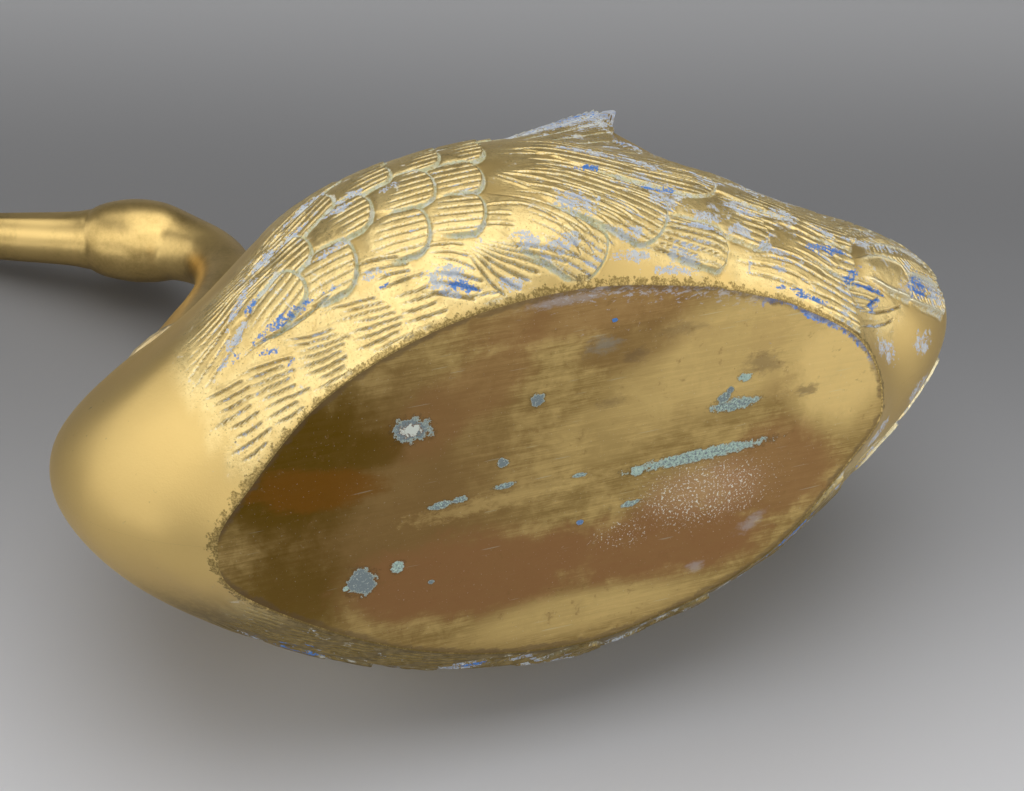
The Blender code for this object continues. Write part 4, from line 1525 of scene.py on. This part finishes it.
@dataclass
class BodyHalf:
    """One cast half of the body with its wing: chased outside, rim, and rough inside.

    Sizes are in millimetres. Levels and ribs are counted as the skin counts them.
    """

    skin: Skin
    side: int
    columns: int = 900
    rows: int = 400
    inner_columns: int = 150
    inner_rows: int = 60
    wall: float = 3.0
    crown: float = 1.1
    crown_turns: tuple[float, ...] = (30, 60, 90, 120, 150)
    lip: float = 3.0
    foot_round: float = 0.22
    foot_width: float = 0.8
    tip: Triple = (51.0, 85.0, 158.0)
    tip_reach: float = 9.0
    tip_thinning: float = 0.7
    blunting: int = 70
    blunt_depth: Pair = (16.0, 5.0)
    kept_ends: Pair = (2.0, 30.0)
    evened: int = 25
    amidships: float = 4.5
    first_level: float = 0.1
    inner_first: float = 0.25
    inner_last: float = 0.1
    level_lengths: tuple[float, ...] = (14, 26, 31, 30, 28, 36)
    ruler_level: float = 2.5
    ruler_points: int = 181
    patches: tuple[float, ...] = (0.26, 0.5, 0.74)
    crown_residue: float = 0.4

    @property
    def word(self) -> str:
        """The side's name."""
        return "left" if self.side > 0 else "right"

    def build(self, wardrobe: Wardrobe) -> None:
        """Makes the half's pieces and dresses them.

        Args:
            wardrobe: where the materials come from.
        """
        node = f"body_{self.word}_half"
        points, values, normals = self._outside()
        cuts = [0, *(int(share * self.columns) for share in self.patches), self.columns]
        for name, first, last in zip(("breast", "shoulder", "wing", "tail"), cuts[:-1], cuts[1:]):
            keep = slice(first, last + 1)
            patch = Patch(points[keep], values={key: value[keep] for key, value in values.items()},
                          normals=normals[keep], flipped=self.side < 0)
            piece = patch.build(f"{self.word}_{name}", wardrobe.get(Finish.FEATHERED))
            place(piece, Slot.FEATHERED, node)
        rough_cast = wardrobe.get(Finish.INSIDE)
        inner = Patch(self._inside(), flipped=self.side > 0).build(f"{self.word}_inside", rough_cast)
        place(inner, Slot.FEATHERED, node)

    def _grid(self, columns: int, rows: int) -> tuple[np.ndarray, np.ndarray]:
        """Lays a grid evenly over the skin.

        Args:
            columns: how many steps it has from the breast to the tail.
            rows: how many it has from the foot to the rim.

        Returns:
            Rib positions, and level positions with a row for each rib position.
        """
        coarse = np.linspace(0, self.skin.last_rib, self.ruler_points)
        level = np.full((self.ruler_points, 1), self.ruler_level)
        middle = self.skin.points(self.side, coarse, level)[:, 0]
        lengths = np.concatenate([[0], np.cumsum(np.linalg.norm(np.diff(middle, axis=0), axis=1))])
        along = np.interp(np.linspace(0, lengths[-1], columns + 1), lengths, coarse)
        heights = np.concatenate([[0], np.cumsum(self.level_lengths)])
        first = self.first_level * self.level_lengths[0]
        up = np.interp(np.linspace(first, heights[-1], rows + 1), heights, np.arange(len(heights)))
        return along, np.broadcast_to(up, (columns + 1, rows + 1))

    def _unrolled(self, along: np.ndarray, up: np.ndarray) -> tuple[np.ndarray, np.ndarray, np.ndarray]:
        """Unrolls the flank; both sides take the left one's measures.

        Args:
            along: rib positions.
            up: level positions, one row for each rib position.

        Returns:
            Each place's way from amidships, its way up from the base and its way to the rim.
        """
        points = self.skin.points(1, along, up)
        steps = np.linalg.norm(np.diff(points, axis=0), axis=2)
        s = np.concatenate([np.zeros((1, up.shape[1])), np.cumsum(steps, 0)])
        steps = np.linalg.norm(np.diff(points, axis=1), axis=2)
        h = np.concatenate([np.zeros((len(along), 1)), np.cumsum(steps, 1)], 1)
        s -= np.array([np.interp(self.amidships, along, column) for column in s.T])
        return s, h + self.first_level * self.level_lengths[0], h[:, -1:] - h

    def _outside(self) -> tuple[np.ndarray, dict[str, np.ndarray], np.ndarray]:
        """Shapes the outside from the foot over the rim.

        Returns:
            Its points, what the finish reads at them, and their normals.
        """
        along, up = self._grid(self.columns, self.rows)
        smooth_skin = self.skin.points(self.side, along, up)
        normals = self.skin.normals(self.side, along, up)
        relief = Relief(*self._unrolled(along, up))
        smooth_skin = self._blunted(smooth_skin, relief.rim_left)
        height = relief.height * smooth(0.0, 0.12, along)[:, None]
        climb = unit(np.gradient(smooth_skin, axis=1))
        points = smooth_skin + normals * height[:, :, None] + climb * relief.rim_rise()[:, :, None]
        foot = self._foot(along)
        top = points[:, -1]
        inner = smooth_skin[:, -1] - self._even(normals[:, -1]) * self._wall_at(smooth_skin[:, -1])[:, None]
        heart, reach = (top + inner) / 2, (top - inner) / 2
        turns = np.radians(self.crown_turns)
        crown = [heart + reach * math.cos(t) + climb[:, -1] * self.crown * math.sin(t) for t in turns]
        lip = inner - climb[:, -1] * self.lip
        points = np.concatenate([foot, points, np.stack([*crown, inner, lip], axis=1)], axis=1)
        points[[0, -1], :, 0] = self.side * self.skin.middle_gap
        values = {}
        for key in ("groove", "edge", "rim", "plumage", "haze", "vivid"):
            body = getattr(relief, key)
            before = np.zeros((len(along), foot.shape[1]))
            after = np.repeat(body[:, -1:] * self.crown_residue, len(crown) + 2, axis=1)
            values[key] = np.concatenate([before, body, after], axis=1)
        facing = grid_normals(points) * self.side
        facing[[0, -1], :, 0] = 0.0
        return points, values, unit(facing)

    def _wall_at(self, points: np.ndarray) -> np.ndarray:
        """Gives the wall's thickness, which is less in the wing's tip.

        Args:
            points: places on the skin.

        Returns:
            The thickness at each of them.
        """
        x, y, z = self.tip
        away = np.linalg.norm(points - np.array([self.side * x, y + SHIFT, z]), axis=-1)
        return self.wall * (1.0 - self.tip_thinning * bell(away, 0.0, self.tip_reach))

    def _blunted(self, points: np.ndarray, rim_left: np.ndarray) -> np.ndarray:
        """Rounds the sharp corners of the skin near the rim, such as the wing's tip.

        Args:
            points: the skin's grid.
            rim_left: each point's way to the rim.

        Returns:
            The grid, rounded near the rim but not at the breast and the tail.
        """
        rounded = points.copy()
        for _ in range(self.blunting):
            rounded[1:-1] = (rounded[:-2] + 2 * rounded[1:-1] + rounded[2:]) / 4
        steps = np.arange(len(points))
        inward = smooth(*self.kept_ends, np.minimum(steps, steps[::-1]))
        near = (smooth(*self.blunt_depth, rim_left) * inward[:, None])[:, :, None]
        return points + (rounded - points) * near

    def _even(self, normals: np.ndarray) -> np.ndarray:
        """Evens the rim's normals along it, so that the wall stays clean round the wing's tip.

        Args:
            normals: the normals along the rim.

        Returns:
            The evened normals.
        """
        weights = np.hanning(self.evened + 2)[1:-1]
        ends = self.evened // 2
        padded = np.pad(normals, ((ends, ends), (0, 0)), mode="edge")
        return unit(np.stack([np.convolve(column, weights, "valid") for column in padded.T], axis=1))

    def _foot(self, along: np.ndarray) -> np.ndarray:
        """Gives the rows that round the ground corner and run in under the body.

        Args:
            along: rib positions.

        Returns:
            Three points for each rib position, the innermost first.
        """
        edge = self.skin.points(self.side, along, np.zeros((len(along), 1)))[:, 0]
        way = unit(np.gradient(edge, axis=0))
        inward = np.stack([-way[:, 1], way[:, 0], np.zeros(len(way))], axis=1) * self.side
        rows = [edge + inward * self.foot_width, edge + inward * self.foot_round,
                edge + inward * self.foot_round * 0.3]
        for row, height in zip(rows, (0.0, 0.0, self.foot_round * 0.3)):
            row[:, 2] = height
            row[[0, -1], 0] = self.side * self.skin.middle_gap
        return np.stack(rows, axis=1)

    def _inside(self) -> np.ndarray:
        """Shapes the inner wall, a little uneven from the sand mould.

        Returns:
            Its points.
        """
        along, up = self._grid(self.inner_columns, self.inner_rows)
        last = self.skin.top - self.inner_last
        up = self.inner_first + (last - self.inner_first) * (up - up[:, :1]) / (up[:, -1:] - up[:, :1])
        points = self.skin.points(self.side, along, up)
        normals = self.skin.normals(self.side, along, up)
        s, h, _ = self._unrolled(along, up)
        rough = 0.35 * Grain(11, 7.0).at(s, h) + 0.2 * Grain(12, 3.0).at(s, h)
        rough *= smooth(0.0, 0.05, last - up)
        points = points - normals * (self._wall_at(points) + rough)[:, :, None]
        points[0, :, 0] = points[-1, :, 0] = self.side * self.skin.middle_gap
        return points


@dataclass
class BasePlate:
    """The flat plate that closes the body, ground flush with it and worn a little uneven."""

    skin: Skin
    across: int = 130
    lengthwise: int = 250
    outline_points: int = 721
    floor_step: int = 5
    inset: float = 0.65
    thickness: float = 2.5
    hollow: float = 0.10
    waves: Pair = (0.06, 0.02)
    crust_height: float = 0.22
    lowest: float = -0.12

    def build(self, wardrobe: Wardrobe) -> None:
        """Makes the plate and dresses it.

        Args:
            wardrobe: where the materials come from.
        """
        under = self._under()
        values = {"rim_left": self._rim_left(under)}
        plate = Patch(under, values=values).build("base_plate_under", wardrobe.get(Finish.GROUND))
        place(plate, Slot.GROUND, "base_plate")
        over = under[::self.floor_step, ::self.floor_step].copy()
        over[:, :, 2] = self.thickness
        floor = Patch(over, flipped=True).build("base_plate_over", wardrobe.get(Finish.INSIDE))
        place(floor, Slot.GROUND, "base_plate")

    def _under(self) -> np.ndarray:
        """Shapes the underside, row by row from the breast to the tail.

        Returns:
            Its points.
        """
        along = np.linspace(0, self.skin.last_rib, self.outline_points)
        flat = np.zeros((len(along), 1))
        left, right = (self.skin.points(side, along, flat)[:, 0] for side in (1, -1))
        low, high = left[0, 1] + self.inset, left[-1, 1] - self.inset
        steps = 0.5 - 0.5 * np.cos(np.linspace(0, math.pi, self.lengthwise + 1))
        y = low + (high - low) * steps
        edges = []
        for line, sign in ((right, -1), (left, 1)):
            half = np.interp(y, line[:, 1], np.abs(line[:, 0])) - self.inset
            edges.append(sign * np.maximum(half, 0.0))
        share = np.linspace(0, 1, self.across + 1)
        x = edges[0][:, None] * (1 - share) + edges[1][:, None] * share
        grid = np.stack([x, np.repeat(y[:, None], self.across + 1, axis=1), np.zeros_like(x)], axis=2)
        grid[:, :, 2] = self._wear(grid[:, :, 0], grid[:, :, 1])
        return grid

    def _rim_left(self, grid: np.ndarray) -> np.ndarray:
        """Measures the way to the rim.

        Args:
            grid: the plate's points.

        Returns:
            How far each of them lies from the rim, in millimetres.
        """
        rim = np.concatenate([grid[:, 0, :2], grid[:, -1, :2]])
        away = np.empty(grid.shape[:2])
        for number, row in enumerate(grid[:, :, :2]):
            away[number] = np.hypot(*(row[:, None] - rim[None]).transpose(2, 0, 1)).min(axis=1)
        return away

    def _wear(self, x: np.ndarray, y: np.ndarray) -> np.ndarray:
        """Gives the underside's small hollows and crusts.

        Args:
            x: the places' way across the plate.
            y: their way along it.

        Returns:
            How far each place lies above the table, in millimetres.
        """
        broad, fine = self.waves
        wear = self.hollow + broad * Grain(21, 40.0).at(x, y) + fine * Grain(22, 9.0).at(x, y)
        for spot in CRUSTS:
            across, along = turned(x - spot.x, y - SHIFT - spot.y, -spot.turn)
            away = np.hypot(across / spot.across, along / spot.along) + 0.3 * Grain(23, 2.0).at(x, y)
            wear -= self.crust_height * smooth(1.0, 0.6, away)
        return np.maximum(wear, self.lowest)


@dataclass
class NeckAndHead:
    """The S-shaped neck and the head with its long bill, swept along one path.

    Each ring of the neck and the head has its y and z as drawn and its half width and half height.
    """

    neck: list[tuple[float, float, float, float]] = field(default_factory=lambda: [
        (-106, 95, 21, 21), (-99, 115, 18.5, 18.5), (-90.5, 134, 15.4, 15.4), (-80.5, 152, 13.5, 13.5),
        (-72, 169, 12.8, 12.8), (-68, 187, 12.2, 12.2), (-70, 203, 12.4, 12.4), (-78, 217, 13.8, 13.8),
    ])
    head: list[tuple[float, float, float, float]] = field(default_factory=lambda: [
        (-86, 225, 16.4, 16.4), (-95, 230.5, 17, 17), (-105, 235, 15.4, 14.8), (-113, 238.7, 12.2, 11.8),
        (-122, 243, 11, 10.4), (-138, 250.5, 10.3, 9), (-154, 258, 9.4, 7.2), (-165, 263, 7, 4.8),
        (-170, 265.3, 3.2, 2.2),
    ])
    sides: int = 72
    steps: int = 14
    beak_reach: float = 2.2
    tip_rings: tuple[Pair, ...] = ((0.8, 0.55), (0.45, 0.88), (0.0, 1.0))
    bill_from: Pair = (10.6, 12.6)
    mouth_depth: float = 0.35
    mouth_width: float = 0.025
    ridge_height: float = 0.5
    ridge_width: float = 0.05
    crease_ring: float = 10.75
    crease_width: float = 0.16
    crease_depth: float = 0.3

    def build(self, wardrobe: Wardrobe) -> None:
        """Makes the neck and the head and dresses them.

        Args:
            wardrobe: where the materials come from.
        """
        rings = self._rings()
        joint = self.steps * (len(self.neck) - 1)
        satin = wardrobe.get(Finish.SATIN)
        normals = self._normals(rings)
        parts = {"neck_smooth": (slice(0, joint + 1), "neck"), "head_and_bill": (slice(joint, None), "head")}
        for name, (keep, node) in parts.items():
            piece = Patch(rings[keep], closed=True, normals=normals[keep], flipped=True).build(name, satin)
            place(piece, Slot.POLISHED, node)

    def _rings(self) -> np.ndarray:
        """Shapes the neck and the head as rings, from the neck's foot to the bill's tip.

        Returns:
            The rings' points.
        """
        data = np.array(self.neck + self.head, dtype=float)
        at = np.linspace(0, len(data) - 1, self.steps * (len(data) - 1) + 1)
        line = catmull_rom(with_straight_ends(data), at)
        middle = np.column_stack([np.zeros(len(line)), line[:, 0] + SHIFT, line[:, 1]])
        heading = unit(np.gradient(middle, axis=0))
        up = np.cross(heading, np.array([1.0, 0.0, 0.0]))
        turns = np.linspace(0, 2 * math.pi, self.sides, endpoint=False)
        cos, sin = np.cos(turns)[None, :, None], np.sin(turns)[None, :, None]
        wide = line[:, 2, None, None] * cos * np.array([1.0, 0.0, 0.0])
        high = line[:, 3, None, None] * sin * up[:, None]
        rings = middle[:, None] + wide + high
        bill = smooth(*self.bill_from, at)[:, None]
        mouth = bell(np.abs(cos[..., 0]), 1.0, self.mouth_width) * bill
        ridge = bell(sin[..., 0], 1.0, self.ridge_width) * bill
        crease = bell(at, self.crease_ring, self.crease_width)[:, None]
        out = unit(rings - middle[:, None])
        swell = self.ridge_height * ridge - self.mouth_depth * mouth - self.crease_depth * crease
        rings = rings + out * swell[:, :, None]
        cap = [middle[-1] + (rings[-1] - middle[-1]) * share + heading[-1] * self.beak_reach * reach
               for share, reach in self.tip_rings]
        return np.concatenate([rings, np.stack(cap)])

    def _normals(self, rings: np.ndarray) -> np.ndarray:
        """Gives the rings' outward normals, right round each ring.

        Args:
            rings: the rings' points.

        Returns:
            A normal for each point; the last ring's all face along the bill.
        """
        ahead = np.gradient(rings, axis=0)
        round_way = np.roll(rings, -1, axis=1) - np.roll(rings, 1, axis=1)
        normals = unit(np.cross(ahead, round_way))
        outward = rings - rings.mean(axis=1, keepdims=True)
        sign = np.sign((normals * outward).sum(axis=2, keepdims=True)[:-1].mean())
        normals *= sign
        normals[-1] = unit(rings[-1] - rings[-6].mean(axis=0))
        return normals


@dataclass(frozen=True)
class SoftLight:
    """One square area light.

    Its way runs from the swan to the light, counted to the picture's right, up it and towards the
    camera. The distance and the length of its sides are in metres. A panel only shows as a reflection
    in the metal.
    """

    name: str
    way: Triple
    distance: float
    size: float
    watts: float
    panel: bool = False


@dataclass
class Studio:
    """The table that the swan lies on, the lights and the camera."""

    eye: Triple = (379.7, -225.8, -552.2)
    aim: Triple = (16.9, -5.5, 29.3)
    roll: float = -37.1044
    focal_px: float = 2100.0
    sensor: float = 36.0
    table_normal: Triple = (0.928, 0.024, -0.371)
    table_size: float = 16.0
    # The table's painted light and shade: its grey at each share of the picture's height
    painted_light_tones: tuple[Pair, ...] = ((0.0, 0.92), (0.3, 0.36), (0.62, 0.20), (0.80, 0.22), (1.0, 0.42))
    table_blue: float = 1.02
    painted_light_below: float = 0.16
    painted_light_length: float = 0.36
    table_roughness: float = 0.85
    lights: tuple[SoftLight, ...] = (
        SoftLight("above", (0.05, 0.86, 0.50), 1.7, 2.0, 21.0),
        SoftLight("left", (-0.90, 0.08, 0.26), 1.7, 2.1, 15.0),
        SoftLight("low_left", (-0.68, -0.64, 0.30), 1.7, 1.2, 9.0),
        SoftLight("front", (-0.20, 0.06, 0.97), 1.7, 1.9, 16.0, panel=True),
        SoftLight("right", (0.90, 0.22, 0.22), 1.7, 1.6, 12.5, panel=True),
        SoftLight("low_right", (0.90, -0.34, 0.40), 1.6, 1.3, 7.0),
    )
    world_colour: Colour = (0.50, 0.51, 0.53)
    world_strength: float = 0.25

    def build(self) -> None:
        """Sets up the whole studio."""
        self._camera()
        self._table()
        for light in self.lights:
            self._hang(light)
        self._world()
        bpy.context.scene.view_settings.view_transform = "Standard"
        log.info("studio: table, camera and %d lights", len(self.lights))

    def _at(self, place_mm: Triple) -> Vector:
        """Gives a drawn place in the frame, in metres."""
        return Vector((place_mm[0], place_mm[1] + SHIFT, place_mm[2])) * MM

    def _turn(self) -> Matrix:
        """Gives the camera's turn."""
        way = self._at(self.aim) - self._at(self.eye)
        return way.to_track_quat("-Z", "Y").to_matrix() @ Matrix.Rotation(math.radians(self.roll), 3, "Z")

    def _camera(self) -> None:
        """Puts the camera where the photograph was taken."""
        lens = bpy.data.cameras.new("camera")
        lens.sensor_width = self.sensor
        lens.lens = self.focal_px * self.sensor / PHOTO_WIDTH
        lens.clip_start, lens.clip_end = 0.01, 50.0
        camera = bpy.data.objects.new("camera", lens)
        camera.matrix_world = Matrix.Translation(self._at(self.eye)) @ self._turn().to_4x4()
        bpy.context.scene.collection.objects.link(camera)
        bpy.context.scene.camera = camera

    def _support(self) -> float:
        """Finds the swan's lowest point.

        Returns:
            How far along the table's normal it lies, in metres.
        """
        normal = Vector(self.table_normal).normalized()
        lowest = math.inf
        for thing in bpy.data.objects:
            if thing.type == "MESH" and not thing.hide_render:
                places = np.empty(len(thing.data.vertices) * 3, dtype=np.float32)
                thing.data.vertices.foreach_get("co", places)
                lowest = min(lowest, float((places.reshape(-1, 3) @ np.array(normal)).min()))
        return lowest

    def _table(self) -> None:
        """Lays the table's plane under the swan's right side; from behind it isn't seen. Its tone is painted
        light and shade along the picture's height: bright at the bottom, a dark band round and just above the
        swan's middle for its shadow, paler again at the top.
        """
        normal = Vector(self.table_normal).normalized()
        turn = normal.to_track_quat("Z", "Y").to_matrix()
        half = self.table_size / 2
        centre = normal * self._support()
        signs = ((-1, -1), (1, -1), (1, 1), (-1, 1))
        corners = [centre + turn @ Vector((x * half, y * half, 0.0)) for x, y in signs]
        mesh = bpy.data.meshes.new("table")
        mesh.from_pydata(corners, [], [(0, 1, 2, 3)])
        cook = Recipe("table_paper_painted_light")
        up = self._turn() @ Vector((0.0, 1.0, 0.0))
        offset = cook.node("ShaderNodeVectorMath", {"operation": "SUBTRACT"},
                           {0: cook.place, 1: self._at(self.aim)})
        high = cook.node("ShaderNodeVectorMath", {"operation": "DOT_PRODUCT"}, {0: offset.outputs[0], 1: up})
        # Painted light and shade: the table's grey is graded along the picture's height
        share = (Number(cook, high.outputs["Value"]) + self.painted_light_below) / self.painted_light_length
        stops = [(at, (tone, tone, tone * self.table_blue)) for at, tone in self.painted_light_tones]
        ramp = cook.node("ShaderNodeValToRGB", {"stops": stops}, {0: share})
        ramp.color_ramp.interpolation = "B_SPLINE"
        cook.finish(ramp.outputs["Color"], self.table_roughness, 0.0)
        behind = cook.node("ShaderNodeNewGeometry").outputs["Backfacing"]
        clear = cook.node("ShaderNodeBsdfTransparent").outputs[0]
        both = cook.node("ShaderNodeMixShader", {}, {0: behind, 1: cook.shader.outputs[0], 2: clear})
        cook.feed(cook.tree.nodes["Material Output"].inputs["Surface"], both.outputs[0])
        mesh.materials.append(cook.material)
        table = bpy.data.objects.new("table", mesh)
        bpy.context.scene.collection.objects.link(table)

    def _hang(self, light: SoftLight) -> None:
        """Hangs a light, turned to the swan.

        Args:
            light: the light.
        """
        lamp = bpy.data.lights.new(light.name, "AREA")
        lamp.shape = "SQUARE"
        lamp.size = light.size
        lamp.energy = light.watts
        hung = bpy.data.objects.new(light.name, lamp)
        hung.visible_diffuse = not light.panel
        aim = self._at(self.aim)
        start = aim + self._turn() @ Vector(light.way).normalized() * light.distance
        facing = (aim - start).to_track_quat("-Z", "Y").to_matrix().to_4x4()
        hung.matrix_world = Matrix.Translation(start) @ facing
        bpy.context.scene.collection.objects.link(hung)

    def _world(self) -> None:
        """Gives the room its even grey light."""
        world = bpy.data.worlds.new("room")
        world.use_nodes = True
        background = world.node_tree.nodes["Background"]
        background.inputs["Color"].default_value = (*self.world_colour, 1.0)
        background.inputs["Strength"].default_value = self.world_strength
        bpy.context.scene.world = world


def dress_braze(wardrobe: Wardrobe) -> None:
    """Gives the solder and braze pieces that stay as the model has them their metal.

    Args:
        wardrobe: where the materials come from.
    """
    for name in ("base_solder_seam", "breast_braze_seam", "tail_braze_seam", "neck_braze_ring"):
        node = frame["nodes"][name]
        for holder in node.material_slots:
            holder.material = wardrobe.get(Finish.BRAZE)
        log.info("%s: dressed", name)


def main() -> None:
    """Builds the swan's pieces in order, then the studio round them."""
    logging.basicConfig(level=logging.INFO, format="%(name)s: %(message)s")
    wardrobe, skin = Wardrobe(), Skin()
    for side in (1, -1):
        BodyHalf(skin, side).build(wardrobe)
    BasePlate(skin).build(wardrobe)
    NeckAndHead().build(wardrobe)
    dress_braze(wardrobe)
    Studio().build()


if __name__ == "__main__":
    main()
